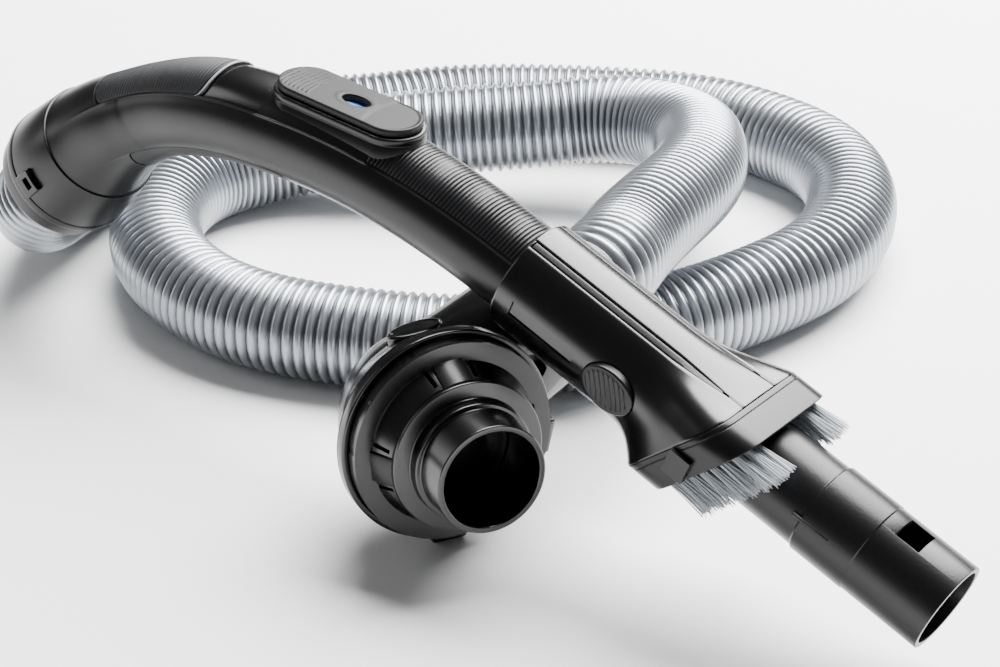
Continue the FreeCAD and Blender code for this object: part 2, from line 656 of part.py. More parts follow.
def dome(inset):
    """The connector housing's round part: a dome that widens to the mouth's rim."""
    mid_r = size("dome_radius")
    mid_z = size("dome_z")
    centre = (back * back - mid_z * mid_z - mid_r * mid_r) / (2 * (mid_z - back)) * -1
    ball = back - centre - inset
    lift = math.sqrt(ball * ball - (mid_z - centre) ** 2) if inset else mid_r
    quarter = math.pi / 4
    low_z = -centre - ball
    arc = Part.Arc(V(0, 0, low_z),
                   V(ball * math.sin(quarter), 0, -centre - ball * math.cos(quarter)),
                   V(lift, 0, -mid_z))
    corners = [V(lift, 0, -mid_z), V(size("shoulder_radius") - inset, 0, -size("shoulder_z")),
               V(brim - inset, 0, -size("mouth_ring_len")),
               V(0, 0, -size("mouth_ring_len")), V(0, 0, low_z)]
    if inset:
        corners.insert(3, V(brim - inset, 0, 4))
        corners[4] = V(0, 0, 4)
    edges = [arc.toShape()]
    for a, b in zip(corners[:-1], corners[1:]):
        edges.append(Part.LineSegment(a, b).toShape())
    return Part.Face(Part.Wire(edges)).revolve(V(0, 0, 0), V(0, 0, 1), 360)


NECK = PLACE(NECK_BASE, ROT(V(0, 0, 1), NECK_DIR))


def neck(inset):
    """The connector housing's neck, which leaves the dome for the hose."""
    cone = Part.makeCone(size("neck_base") - inset, size("neck_end") - inset, size("neck_len"))
    if inset:
        cone = cone.fuse(tube(size("neck_end") - inset, size("neck_len") - 0.01, 5))
    knob = Part.makeSphere(size("neck_base") - inset)
    cone.Placement = NECK
    knob.Placement = NECK
    return cone.fuse(knob)


thick = size("housing_wall")
clear_mouth = tube(brim, -size("mouth_ring_len"), 60)
outer = dome(0).fuse(neck(0).cut(clear_mouth))
housing = outer.cut(dome(thick)).cut(neck(thick))
PRESSES = []
for name, turn in (("top", size("press_angle")), ("bottom", size("press_angle") - 180)):
    a = math.radians(turn)
    out = V(math.cos(a), math.sin(a), 0)
    aside = V(-math.sin(a), math.cos(a), 0)
    place = PLACE(V(0, 0, -size("press_z")), ROT(aside, V(0, 0, 1), out, "ZXY"))
    PRESSES.append((name, place))
    gap = 2 * size("fit_gap")
    hole = oval(size("press_len") + gap, size("press_width") + gap, 26, 46)
    hole.Placement = place
    housing = housing.cut(hole)
feature("connector_housing", housing, MOUTH)
for name, place in PRESSES:
    button = oval(size("press_len"), size("press_width"), size("press_in"), size("press_out"))
    feature(f"connector_button_{name}", button, MOUTH * place)

mouth_ring = tube(brim, -size("mouth_ring_len"), size("mouth_ring_len"), None, brim - thick)
for turn in (-90, -15):
    lug = Part.makeBox(size("lug_width"), size("lug_rise") + 3, size("lug_len") - 1,
                       V(-size("lug_width") / 2, brim - 3, -size("lug_len")))
    lug.rotate(V(0, 0, 0), V(0, 0, 1), turn - 90)
    mouth_ring = mouth_ring.fuse(lug.cut(outer).cut(tube(brim, -size("mouth_ring_len"), 20)))
feature("connector_mouth_ring", mouth_ring, MOUTH)

turned_body("neck_cuff", [
    ("Sizes.elbow_radius", "Sizes.neck_len - Sizes.neck_seat - 2"),
    ("Sizes.neck_end - Sizes.housing_wall + 0.6666", "Sizes.neck_len - Sizes.neck_seat - 2"),
    ("Sizes.neck_end - Sizes.housing_wall", "Sizes.neck_len"),
    ("Sizes.neck_end - 0.8", "Sizes.neck_len"), ("Sizes.neck_end - 1.6", "Sizes.neck_len + 2"),
    ("Sizes.hose_radius", "Sizes.neck_len + 2"),
    ("Sizes.hose_radius", "Sizes.neck_len - Sizes.neck_seat"),
    ("Sizes.elbow_radius", "Sizes.neck_len - Sizes.neck_seat")], MOUTH * NECK)

bend = size("elbow_bend")
swing = math.acos(-NECK_DIR.z)
lead = bend * math.tan(swing / 2)
arc_in = NECK_BASE + NECK_DIR * lead
arc_out = NECK_BASE + V(0, 0, lead)
inward = (NECK_DIR + V(0, 0, 1)).normalize()
centre = NECK_BASE + inward * (bend / math.cos(swing / 2))
arc_mid = centre - inward * bend


def elbow(radius, extra=0.0):
    """A round bar from the neck through a bend to the mouth."""
    neck_start = NECK_BASE + NECK_DIR * (size("neck_len") - size("neck_seat") - 2 + extra)
    front = V(0, 0, size("elbow_front") + extra)
    path = Part.Wire([Part.LineSegment(neck_start, arc_in).toShape(),
                      Part.Arc(arc_in, arc_mid, arc_out).toShape(),
                      Part.LineSegment(arc_out, front).toShape()])
    circle = Part.Wire(Part.makeCircle(radius, neck_start, NECK_DIR * -1))
    return path.makePipeShell([circle], True, False)


floor_z = size("floor_z")
plate = tube(29.0, -floor_z - size("floor_thick"), size("floor_thick"), None, size("elbow_bore") + 0.5)
duct = elbow(size("elbow_radius"), 2.0).fuse(plate).cut(elbow(size("elbow_bore"), 4.0))
feature("elbow_duct", duct, MOUTH)
seal = tube(size("elbow_radius") + 2.4, -floor_z, 3.2, None, size("elbow_radius"))
feature("spigot_seal", seal.cut(duct), MOUTH)

catch = size("catch_radius")
turned_body("retaining_ring", [
    ("Sizes.catch_radius - Sizes.catch_wall", "-Sizes.floor_z"),
    ("Sizes.catch_radius", "-Sizes.floor_z"), ("Sizes.catch_radius", "-Sizes.floor_z + 2.7"),
    ("Sizes.catch_radius + 1.7", "-Sizes.floor_z + 2.7"),
    ("Sizes.catch_radius + 1.7", "-Sizes.floor_z + 4.6"),
    ("Sizes.catch_radius - Sizes.catch_wall", "-Sizes.floor_z + 4.6")], MOUTH)

turned_body("spigot", [
    ("Sizes.sleeve_bore", "-Sizes.sleeve_back"), ("Sizes.spigot_radius", "-Sizes.sleeve_back"),
    ("Sizes.spigot_radius", "Sizes.flange_z"), ("Sizes.flange_radius", "Sizes.flange_z"),
    ("Sizes.flange_radius", "Sizes.flange_z + Sizes.flange_thick"),
    ("Sizes.step_radius", "Sizes.flange_z + Sizes.flange_thick"),
    ("Sizes.step_radius", "Sizes.flange_z + Sizes.flange_thick + Sizes.step_len"),
    ("Sizes.spigot_radius", "Sizes.flange_z + Sizes.flange_thick + Sizes.step_len"),
    ("Sizes.spigot_radius", "Sizes.spigot_end"), ("Sizes.spigot_bore", "Sizes.spigot_end"),
    ("Sizes.spigot_bore", "Sizes.sleeve_end"), ("Sizes.sleeve_bore", "Sizes.sleeve_end")], MOUTH)

cage_back = size("cage_rear")
cage_wall = size("cage_wall")
cage_wide = brim - thick - size("cage_gap")
cage_narrow = size("flange_radius") - size("cage_inset")
flange_z = size("flange_z")


def cage_at(z):
    """The cage's outer radius at a height: widest at the rear, narrowest against the flange."""
    share = (z + cage_back) / (flange_z + cage_back)
    return cage_wide + share * (cage_narrow - cage_wide)


cage_base = V(0, 0, -cage_back)
cage_rise = cage_back + flange_z
cage = Part.makeCone(cage_wide, cage_narrow, cage_rise, cage_base)
cage = cage.cut(Part.makeCone(cage_wide - cage_wall, cage_narrow - cage_wall, cage_rise, cage_base))
rear_reach = cage_at(1.8 - cage_back) - cage_wall / 2
cage = cage.fuse(tube(rear_reach, -cage_back, 1.8, None, catch + 0.4))
clear_from = cage_narrow - cage_wall - 3
clear_len = cage_wide + 4 - clear_from
fingers = []
for i in range(4):
    turn = 3 + 90 * i
    width = size("finger_width")
    start = flange_z - size("finger_len") + 3
    ridge = start + 1.5
    rising = [V(cage_at(start) - cage_wall, -width / 2, start),
              V(cage_at(start) + size("finger_rise"), -width / 2, start),
              V(cage_at(ridge) + size("finger_rise"), -width / 2, ridge),
              V(cage_at(flange_z), -width / 2, flange_z),
              V(cage_at(flange_z) - cage_wall, -width / 2, flange_z),
              V(cage_at(start) - cage_wall, -width / 2, start)]
    finger = Part.Face(Part.makePolygon(rising)).extrude(V(0, width, 0))
    finger.rotate(V(0, 0, 0), V(0, 0, 1), turn)
    fingers.append(finger)
    hole = Part.makeBox(clear_len, width, flange_z - start + 1, V(clear_from, -width / 2, start))
    hole.rotate(V(0, 0, 0), V(0, 0, 1), turn)
    cage = cage.cut(hole)
    for aside in (-size("slit_angle"), size("slit_angle")):
        slit = Part.makeBox(clear_len, 1.6, 12, V(clear_from, -0.8, 1.5))
        slit.rotate(V(0, 0, 0), V(0, 0, 1), turn + aside)
        cage = cage.cut(slit)
feature("latch_cage", cage, MOUTH)
feature("latch_fingers", Part.makeCompound(fingers), MOUTH)

# ---------------------------------------------------------------- suction hose
# the hose's line as the corners of its runs; every corner is rounded by an arc tangent to both runs
ROUTE = [
    (-212.4, -46.5, 57.1), (-229.3, -36.4, 40.7), (-264.2, 11.7, 21.0), (-273.2, 70.5, 21.0),
    (-256.2, 126.7, 21.0), (-213.4, 161.5, 21.0), (-183.4, 205.0, 21.0), (-134.1, 240.4, 21.0),
    (-72.8, 273.0, 21.0), (9.9, 259.1, 21.0), (52.6, 183.4, 21.0), (40.5, 104.4, 21.0),
    (9.0, 37.4, 21.0), (-52.3, -7.4, 21.0), (-124.0, -32.3, 21.0), (-193.9, -7.8, 21.0),
    (-229.3, 48.5, 21.0), (-213.2, 99.6, 22.5), (-164.3, 138.6, 34.1), (-115.5, 178.2, 37.9),
    (-93.6, 197.5, 41.0), (-64.2, 203.5, 44.2), (-36.2, 193.0, 48.5), (-15.0, 166.0, 54.0),
    (4.6, 132.2, 60.2), (18.9, 78.4, 67.6), (26.0, 48.0, 68.5), (40.0, 17.0, 75.5),
]
SHIFT = V(-size("origin_x"), -size("origin_y"), 0)
NECK_OUT = size("neck_len") - size("neck_seat")
route = [SOCKET.multVec(V(0, 0, size("socket_floor")))]
route.append(SOCKET.multVec(V(0, 0, size("socket_floor") + 50.0)))
route += [V(*p) + SHIFT for p in ROUTE[1:]]
route.append(MOUTH.multVec(NECK_BASE + NECK_DIR * (NECK_OUT + 28.0)))
route.append(MOUTH.multVec(NECK_BASE + NECK_DIR * NECK_OUT))


def hose_line(points):
    """Straight runs joined by tangent arcs; returns the wire, its length and the arc radii."""
    edges = []
    radii = []
    here = points[0]
    length = 0.0
    for i in range(1, len(points) - 1):
        before = points[i] - points[i - 1]
        after = points[i + 1] - points[i]
        inward = before.normalize()
        run = (points[i] - points[i - 1]).Length
        onward = (points[i + 1] - points[i]).Length
        after.normalize()
        turn = math.acos(max(-1.0, min(1.0, inward.dot(after))))
        reach = 0.45 * min(run, onward)
        radius = reach / math.tan(turn / 2)
        a = points[i] - inward * reach
        b = points[i] + after * reach
        towards = (after - inward).normalize()
        middle = points[i] + towards * (radius / math.cos(turn / 2) - radius)
        edges.append(Part.LineSegment(here, a).toShape())
        edges.append(Part.Arc(a, middle, b).toShape())
        length += (a - here).Length + radius * turn
        radii.append(radius)
        here = b
    edges.append(Part.LineSegment(here, points[-1]).toShape())
    length += (points[-1] - here).Length
    return Part.Wire(edges), length, radii


line, hose_length, radii = hose_line(route)
lead_in = (route[1] - route[0]).normalize()


def hose_bar(radius):
    """A round bar along the hose's line."""
    circle = Part.Wire(Part.makeCircle(radius, route[0], lead_in))
    return line.makePipeShell([circle], True, False)


hose = hose_bar(size("hose_radius")).cut(hose_bar(size("hose_radius") - size("hose_wall")))
feature("suction_hose", hose)

# ---------------------------------------------------------------- finish
doc.recompute()
bad = 0
for obj in doc.Objects:
    state = obj.State
    if "Invalid" in state or "Error" in state:
        print("BAD STATE", obj.Name, state)
        bad += 1
os.makedirs("parts", exist_ok=True)
for obj in parts:
    shape = obj.Shape
    if shape.isNull() or not shape.isValid() or not shape.Solids:
        print("BAD SHAPE", obj.Label)
        bad += 1
        continue
    shape.exportStep(f"parts/{obj.Label}.step")
section = math.pi * (size("hose_radius") ** 2 - (size("hose_radius") - size("hose_wall")) ** 2)
share = hose.Volume / (section * hose_length)
print("hose length", round(hose_length, 1), "volume over section x length", round(share, 4))
print("hose arc radii", [round(r) for r in radii])
print("pieces", len(parts), "bad", bad)
if bad or abs(share - 1) > 0.02:
    raise SystemExit("the assembly did not build cleanly")
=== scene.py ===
"""Looks of a canister vacuum's hose assembly: curved handle with a sliding dusting brush,
corrugated silver hose and swivelling canister connector.  Shapes are worked out in millimetres in
the frames of the handle, the wand and the connector, then written to meshes in metres."""

import json
import math

import bpy
import numpy as np
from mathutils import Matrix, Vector

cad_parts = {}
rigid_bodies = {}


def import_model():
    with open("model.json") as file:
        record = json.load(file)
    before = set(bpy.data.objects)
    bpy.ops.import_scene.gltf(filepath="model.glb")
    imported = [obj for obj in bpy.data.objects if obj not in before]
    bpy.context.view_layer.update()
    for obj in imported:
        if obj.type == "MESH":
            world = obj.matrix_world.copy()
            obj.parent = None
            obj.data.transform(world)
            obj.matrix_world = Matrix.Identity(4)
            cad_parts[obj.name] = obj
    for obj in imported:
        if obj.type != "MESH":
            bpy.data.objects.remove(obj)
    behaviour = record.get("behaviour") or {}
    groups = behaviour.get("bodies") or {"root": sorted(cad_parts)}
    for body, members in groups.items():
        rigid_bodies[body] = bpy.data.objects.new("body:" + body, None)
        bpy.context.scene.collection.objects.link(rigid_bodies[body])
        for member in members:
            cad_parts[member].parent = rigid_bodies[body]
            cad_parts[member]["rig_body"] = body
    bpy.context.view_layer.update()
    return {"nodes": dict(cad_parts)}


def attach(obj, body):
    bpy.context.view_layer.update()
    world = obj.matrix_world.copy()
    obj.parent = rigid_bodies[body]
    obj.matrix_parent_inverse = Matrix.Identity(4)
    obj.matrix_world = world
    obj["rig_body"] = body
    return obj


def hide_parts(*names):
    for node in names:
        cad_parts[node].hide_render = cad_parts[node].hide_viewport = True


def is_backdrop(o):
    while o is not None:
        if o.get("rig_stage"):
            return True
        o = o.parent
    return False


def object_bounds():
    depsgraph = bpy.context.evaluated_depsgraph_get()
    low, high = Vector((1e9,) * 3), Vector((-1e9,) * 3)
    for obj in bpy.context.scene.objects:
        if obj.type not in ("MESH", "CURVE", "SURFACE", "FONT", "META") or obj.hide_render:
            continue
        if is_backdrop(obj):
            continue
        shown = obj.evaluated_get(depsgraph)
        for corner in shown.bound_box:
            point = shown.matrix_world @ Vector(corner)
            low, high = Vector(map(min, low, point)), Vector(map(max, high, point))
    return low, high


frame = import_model()

# ---------------------------------------------------------------- camera
LOOK_AT = Vector((-0.01152, 0.0632, 0.040))
BACK = Vector((0.5586, -0.7150, 0.4927))
camera_data = bpy.data.cameras.new("camera")
camera_data.sensor_width = 36.0
camera_data.lens = 92.56
camera_data.clip_start = 0.01
camera_data.clip_end = 20.0
camera = bpy.data.objects.new("camera", camera_data)
bpy.context.scene.collection.objects.link(camera)
camera.location = LOOK_AT + BACK
camera.rotation_mode = "QUATERNION"
camera.rotation_quaternion = (-BACK).to_track_quat("-Z", "Y")
bpy.context.scene.camera = camera

# ---------------------------------------------------------------- frames, in millimetres
ORIGIN_X = 11.52
ORIGIN_Y = -63.2


def turn_y(degrees):
    """Rotation about Y."""
    a = math.radians(degrees)
    return np.array([[math.cos(a), 0, math.sin(a)], [0, 1, 0], [-math.sin(a), 0, math.cos(a)]])


def turn_x(degrees):
    """Rotation about X."""
    a = math.radians(degrees)
    return np.array([[1, 0, 0], [0, math.cos(a), -math.sin(a)], [0, math.sin(a), math.cos(a)]])


def turn_z(degrees):
    """Rotation about Z."""
    a = math.radians(degrees)
    return np.array([[math.cos(a), -math.sin(a), 0], [math.sin(a), math.cos(a), 0], [0, 0, 1]])


def frame_at(origin, rotation):
    """A frame as an origin and the matrix whose columns are its axes."""
    return np.asarray(origin, float), np.asarray(rotation, float)


def within(outer, origin, rotation=np.eye(3)):
    """A frame given inside another one."""
    return outer[0] + outer[1] @ np.asarray(origin, float), outer[1] @ rotation


def to_world(points, place):
    """Points of a frame in the row frame."""
    return points @ place[1].T + place[0]


WORLD = frame_at((0, 0, 0), np.eye(3))
HANDLE = frame_at((-ORIGIN_X, -50.0 - ORIGIN_Y, 0), np.eye(3))
TILT = 21.7
BOW, HOOK, HOOK_TURN = 330.0, 140.0, 42.0
JOINT = np.array([44.7, 0, 107.3])
WAND = within(HANDLE, JOINT, turn_y(TILT))
tilt = math.radians(TILT)
BOW_CENTRE = JOINT - BOW * np.array([math.sin(tilt), 0, math.cos(tilt)])
APEX = BOW_CENTRE + np.array([0, 0, BOW])
HOOK_CENTRE = APEX - np.array([0, 0, HOOK])
hook_end = math.radians(HOOK_TURN)
SEAM = HOOK_CENTRE + HOOK * np.array([-math.sin(hook_end), 0, math.cos(hook_end)])
SOCKET = within(HANDLE, SEAM, turn_y(-90 - HOOK_TURN))
POD_X = -34.3
pod_angle = math.asin((POD_X - APEX[0]) / BOW)
POD = within(HANDLE, BOW_CENTRE + BOW * np.array([math.sin(pod_angle), 0, math.cos(pod_angle)]), turn_y(5.5))
heading, pitch = math.radians(-26.6), math.radians(3.4)
AXIS = np.array([math.cos(pitch) * math.cos(heading), math.cos(pitch) * math.sin(heading), math.sin(pitch)])
ASIDE = np.array([-math.sin(heading), math.cos(heading), 0])
MOUTH = frame_at((39.9 - ORIGIN_X, -82.6 - ORIGIN_Y, 45.84),
                 np.stack([ASIDE, np.cross(AXIS, ASIDE), AXIS], 1))
neck_a, neck_b = math.radians(23.4), math.radians(5.6)
NECK_DIR = np.array([math.cos(neck_b) * math.cos(neck_a), math.cos(neck_b) * math.sin(neck_a),
                     -math.sin(neck_b)])
CROSS = np.array([0, 0, -24.0])
neck_x = np.cross([0, 0, 1.0], NECK_DIR)
neck_x /= np.linalg.norm(neck_x)
NECK = within(MOUTH, CROSS, np.stack([neck_x, np.cross(NECK_DIR, neck_x), NECK_DIR], 1))
ALONG = turn_y(90)                      # turns a frame so that its Z runs along the old X
WAND_Z = within(WAND, (0, 0, 0), ALONG)

# ---------------------------------------------------------------- materials


def linear(code):
    """An sRGB hex colour as linear RGBA."""
    part = np.array([int(code[i:i + 2], 16) / 255 for i in (1, 3, 5)])
    part = np.where(part <= 0.04045, part / 12.92, ((part + 0.055) / 1.055) ** 2.4)
    return (*part, 1.0)


def add_node(tree, kind, links=(), **settings):
    """Adds a node; settings are its properties or its input sockets, links are (input, output)."""
    node = tree.nodes.new(kind)
    for name, value in settings.items():
        key = name.replace("_", " ")
        if key in node.inputs:
            node.inputs[key].default_value = value
        else:
            setattr(node, name, value)
    for socket, source in links:
        tree.links.new(source, node.inputs[socket])
    return node


def finish_of(name, colour, rough, metal=0.0, grain_mm=None, grain_depth=0.0, coat=0.0, ior=1.5, shine=0.5):
    """A material by its shader values, with a moulded grain of a real size in millimetres."""
    material = bpy.data.materials.new(name)
    material.use_nodes = True
    tree = material.node_tree
    shader = tree.nodes["Principled BSDF"]
    shader.inputs["Base Color"].default_value = linear(colour)
    shader.inputs["Roughness"].default_value = rough
    shader.inputs["Metallic"].default_value = metal
    shader.inputs["IOR"].default_value = ior
    shader.inputs["Coat Weight"].default_value = coat
    shader.inputs["Specular IOR Level"].default_value = shine
    shader.inputs["Coat Roughness"].default_value = 0.06
    material.diffuse_color = linear(colour)
    if grain_mm:
        where = add_node(tree, "ShaderNodeTexCoord")
        grain = add_node(tree, "ShaderNodeTexNoise", [("Vector", where.outputs["Object"])],
                         Scale=1000.0 / grain_mm, Detail=2.0)
        bump = add_node(tree, "ShaderNodeBump", [("Height", grain.outputs["Fac"])],
                        Strength=0.35, Distance=grain_depth / 1000.0)
        tree.links.new(bump.outputs["Normal"], shader.inputs["Normal"])
    return material


# ABS moulded with a fine spark-eroded grain: black with a broad, soft shine
SATIN_ABS = finish_of("abs_satin_black", "#060607", 0.3, shine=0.3, grain_mm=0.9, grain_depth=0.05)
# ABS from a polished mould: deep black with clear reflections, slightly soft at their edges
GLOSS_ABS = finish_of("abs_polished_black", "#030304", 0.22, shine=0.6)
# ABS, textured so that it does not slip in the hand or the tube: greyer, flat shine
MATT_ABS = finish_of("abs_textured_black", "#08080a", 0.34, shine=0.35, grain_mm=1.1, grain_depth=0.1)
# soft TPE over-moulding: dark grey, almost no shine
TPE = finish_of("tpe_soft_grip", "#101113", 0.5, shine=0.3, grain_mm=0.8, grain_depth=0.06)
# dark grey ABS of the thumb plate: fine matt grain, little shine
GREY_ABS = finish_of("abs_dark_grey", "#0c0d0e", 0.5, shine=0.2, grain_mm=0.7, grain_depth=0.05)
# light grey ABS trim
GREY_TRIM = finish_of("abs_grey_trim", "#8d8f92", 0.35)
# dark grey polypropylene of the inner pieces
DARK_PP = finish_of("polypropylene_dark_grey", "#0c0d0f", 0.3, shine=0.35)
# tinted polycarbonate lens: clear blue with a sharp shine
BLUE_PC = finish_of("polycarbonate_blue", "#1f6fc4", 0.08, coat=0.5, ior=1.58)
# nitrile seal: dull black
NITRILE = finish_of("nitrile_seal", "#0c0c0d", 0.7)
# nylon monofilament bristles: grey, each with its own thin highlight
NYLON = finish_of("nylon_bristle", "#a9afb5", 0.3)
# white paper sweep under the object
FLOOR = finish_of("paper_white", "#f7f7f7", 0.9)

# silver-pigmented EVA of the hose: its crests keep the silver colour and its valleys are painted dark as
# painted shade, the share read from the piece's own crest attribute
SILVER_EVA = finish_of("eva_silver", "#9b9fa5", 0.3, metal=0.8)
tree = SILVER_EVA.node_tree
valley = add_node(tree, "ShaderNodeAttribute", attribute_name="crest")
ramp = add_node(tree, "ShaderNodeValToRGB", [("Fac", valley.outputs["Fac"])])
ramp.color_ramp.elements[0].color = linear("#26282b")
ramp.color_ramp.elements[1].color = linear("#9b9fa5")
ramp.color_ramp.elements[0].position = 0.05
ramp.color_ramp.elements[1].position = 0.75
tree.links.new(ramp.outputs["Color"], tree.nodes["Principled BSDF"].inputs["Base Color"])

# the lens's blue is painted pale at its near edge as a painted highlight and dark at its far edge as painted
# shade, by the piece's own attribute
tree = BLUE_PC.node_tree
depth = add_node(tree, "ShaderNodeAttribute", attribute_name="lens_light_and_shade")
ramp = add_node(tree, "ShaderNodeValToRGB", [("Fac", depth.outputs["Fac"])])
ramp.color_ramp.elements[0].color = linear("#e4f1ff")
ramp.color_ramp.elements[1].color = linear("#062c78")
ramp.color_ramp.elements.new(0.38).color = linear("#2b86e6")
tree.links.new(ramp.outputs["Color"], tree.nodes["Principled BSDF"].inputs["Base Color"])

# ---------------------------------------------------------------- mesh building


def sheet_faces(n, m, close_n, close_m, start=0):
    """Quads of an n by m grid of vertices, joined round where a direction closes."""
    i = np.arange(n if close_n else n - 1)
    j = np.arange(m if close_m else m - 1)
    a, b = np.meshgrid(i, j, indexing="ij")
    c, d = (a + 1) % n, (b + 1) % m
    return start + np.stack([a * m + b, c * m + b, c * m + d, a * m + d], -1).reshape(-1, 4)


def outward(points, quads):
    """Quads turned so that the closed surface's signed volume is positive."""
    p = points[quads]
    volume = np.einsum("ij,ij->i", p[:, 0], np.cross(p[:, 1], p[:, 2])).sum()
    volume += np.einsum("ij,ij->i", p[:, 0], np.cross(p[:, 2], p[:, 3])).sum()
    return quads if volume > 0 else quads[:, ::-1]


def ring_solid(grid):
    """A closed ring: a grid that closes on itself both ways."""
    n, m = grid.shape[:2]
    points = grid.reshape(-1, 3)
    return points, outward(points - points.mean(0), sheet_faces(n, m, True, True))


def bar_solid(grid):
    """A closed bar: sections (n, m) one after another, the two ends closed to their middles."""
    n, m = grid.shape[:2]
    points = np.vstack([grid.reshape(-1, 3), grid[0].mean(0), grid[-1].mean(0)])
    j = np.arange(m)
    k = (j + 1) % m
    first = np.stack([np.full(m, n * m), j, k, k], 1)
    last = np.stack([np.full(m, n * m + 1), (n - 1) * m + k, (n - 1) * m + j, (n - 1) * m + j], 1)
    quads = np.vstack([sheet_faces(n, m, False, True), first, last])
    return points, outward(points - points.mean(0), quads)


def piece(name, solids, place, material, body=None, replaces=None, bevel=0.0, sharp=35.0):
    """Writes closed solids, given in a frame, to one object that rides on a CAD body."""
    points, polygons, start = [], [], 0
    for p, q in solids:
        points.append(to_world(p, place) * 0.001)
        polygons.append(q + start)
        start += len(p)
    points = np.vstack(points)
    quads = np.vstack(polygons)
    tri = (quads[:, 2] == quads[:, 3]) | (quads[:, 0] == quads[:, 1])
    mesh = bpy.data.meshes.new(name)
    loops = np.where(tri, 3, 4)
    corner = np.where((quads[:, 0] == quads[:, 1])[:, None], np.roll(quads, -1, 1), quads)
    keep = np.ones(quads.shape, bool)
    keep[tri, 3] = False
    flat = corner[keep]
    mesh.vertices.add(len(points))
    mesh.vertices.foreach_set("co", points.ravel())
    mesh.loops.add(len(flat))
    mesh.loops.foreach_set("vertex_index", flat.astype(np.int32))
    mesh.polygons.add(len(quads))
    mesh.polygons.foreach_set("loop_start", np.concatenate([[0], np.cumsum(loops)[:-1]]).astype(np.int32))
    mesh.update(calc_edges=True)
    mesh.validate()
    obj = bpy.data.objects.new(name, mesh)
    bpy.context.scene.collection.objects.link(obj)
    mesh.materials.append(material)
    smooth(mesh, sharp)
    if bevel:
        soften(obj, bevel)
    if body:
        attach(obj, body)
    if replaces:
        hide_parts(replaces)
    return obj


def smooth(mesh, sharp=35.0):
    """Smooth shading with edges sharper than an angle kept."""
    mesh.polygons.foreach_set("use_smooth", np.ones(len(mesh.polygons), bool))
    mesh.set_sharp_from_angle(angle=math.radians(sharp))


def soften(obj, width_mm):
    """Rounds a piece's sharp edges."""
    bevel = obj.modifiers.new("edges", "BEVEL")
    bevel.width = width_mm * 0.001
    bevel.segments = 2
    bevel.limit_method = "ANGLE"
    bevel.angle_limit = math.radians(40)
    bevel.use_clamp_overlap = True


def combine(obj, other, operation="DIFFERENCE"):
    """Joins another closed piece to this one, or takes it out of it, and removes the other."""
    step = obj.modifiers.new("step", "BOOLEAN")
    step.operation, step.solver, step.object = operation, "EXACT", other
    graph = bpy.context.evaluated_depsgraph_get()
    made = bpy.data.meshes.new_from_object(obj.evaluated_get(graph))
    obj.modifiers.remove(step)
    obj.data = made
    bpy.data.objects.remove(other)


def stand_for(obj, node, body):
    """Shows the object on a CAD body in place of one of its nodes."""
    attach(obj, body)
    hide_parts(node)


def from_cad(node, material, bevel=0.3, sharp=30.0):
    """A CAD node's own mesh, its doubles merged and its edges rounded."""
    source = frame["nodes"][node]
    mesh = source.data.copy()
    mesh.materials.clear()
    mesh.materials.append(material)
    obj = bpy.data.objects.new(node + "_finished", mesh)
    bpy.context.scene.collection.objects.link(obj)
    weld = obj.modifiers.new("weld", "WELD")
    weld.merge_threshold = 1e-6
    graph = bpy.context.evaluated_depsgraph_get()
    obj.data = bpy.data.meshes.new_from_object(obj.evaluated_get(graph))
    obj.modifiers.clear()
    flat = obj.modifiers.new("flat", "DECIMATE")
    flat.decimate_type = "DISSOLVE"
    flat.angle_limit = math.radians(1.0)
    graph = bpy.context.evaluated_depsgraph_get()
    obj.data = bpy.data.meshes.new_from_object(obj.evaluated_get(graph))
    obj.modifiers.clear()
    smooth(obj.data, sharp)
    if bevel:
        soften(obj, bevel)
    stand_for(obj, node, frame["nodes"][node]["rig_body"])
    return obj


def plain(node, material):
    """A CAD node shown as it is, in its own finish."""
    mesh = frame["nodes"][node].data
    mesh.materials.clear()
    mesh.materials.append(material)


def rounded(corners, radius=0.4, steps=4):
    """A closed outline whose corners are rounded: each corner becomes a parabola between points
    at the radius along its two edges (less where an edge is short)."""
    p = np.asarray(corners, float)
    before, after = np.roll(p, 1, 0) - p, np.roll(p, -1, 0) - p
    lb = np.linalg.norm(before, axis=1, keepdims=True)
    la = np.linalg.norm(after, axis=1, keepdims=True)
    reach = np.minimum(radius, 0.48 * np.minimum(lb, la))
    a, b = p + before / lb * reach, p + after / la * reach
    t = np.linspace(0, 1, steps)[None, :, None]
    curve = (1 - t) ** 2 * a[:, None] + 2 * t * (1 - t) * p[:, None] + t ** 2 * b[:, None]
    return curve.reshape(-1, 2)


def turned(corners, radius=0.4, segments=128):
    """A ring turned about Z: outline (radius, height) carried round."""
    outline = rounded(corners, radius)
    a = np.linspace(0, 2 * np.pi, segments, endpoint=False)
    r, z = outline[:, 0][:, None], outline[:, 1][:, None]
    return ring_solid(np.stack([r * np.cos(a), r * np.sin(a), z + 0 * a], -1))


def lathe(profile, segments=96):
    """A solid turned about Z from (radius, height) pairs, its ends closed."""
    p = np.asarray(profile, float)
    a = np.linspace(0, 2 * np.pi, segments, endpoint=False)
    r, z = p[:, 0][:, None], p[:, 1][:, None]
    return bar_solid(np.stack([r * np.cos(a), r * np.sin(a), z + 0 * a], -1))


def oval_outline(length, width, count=72):
    """An ellipse in XY."""
    a = np.linspace(0, 2 * np.pi, count, endpoint=False)
    return np.stack([length / 2 * np.cos(a), width / 2 * np.sin(a)], 1)


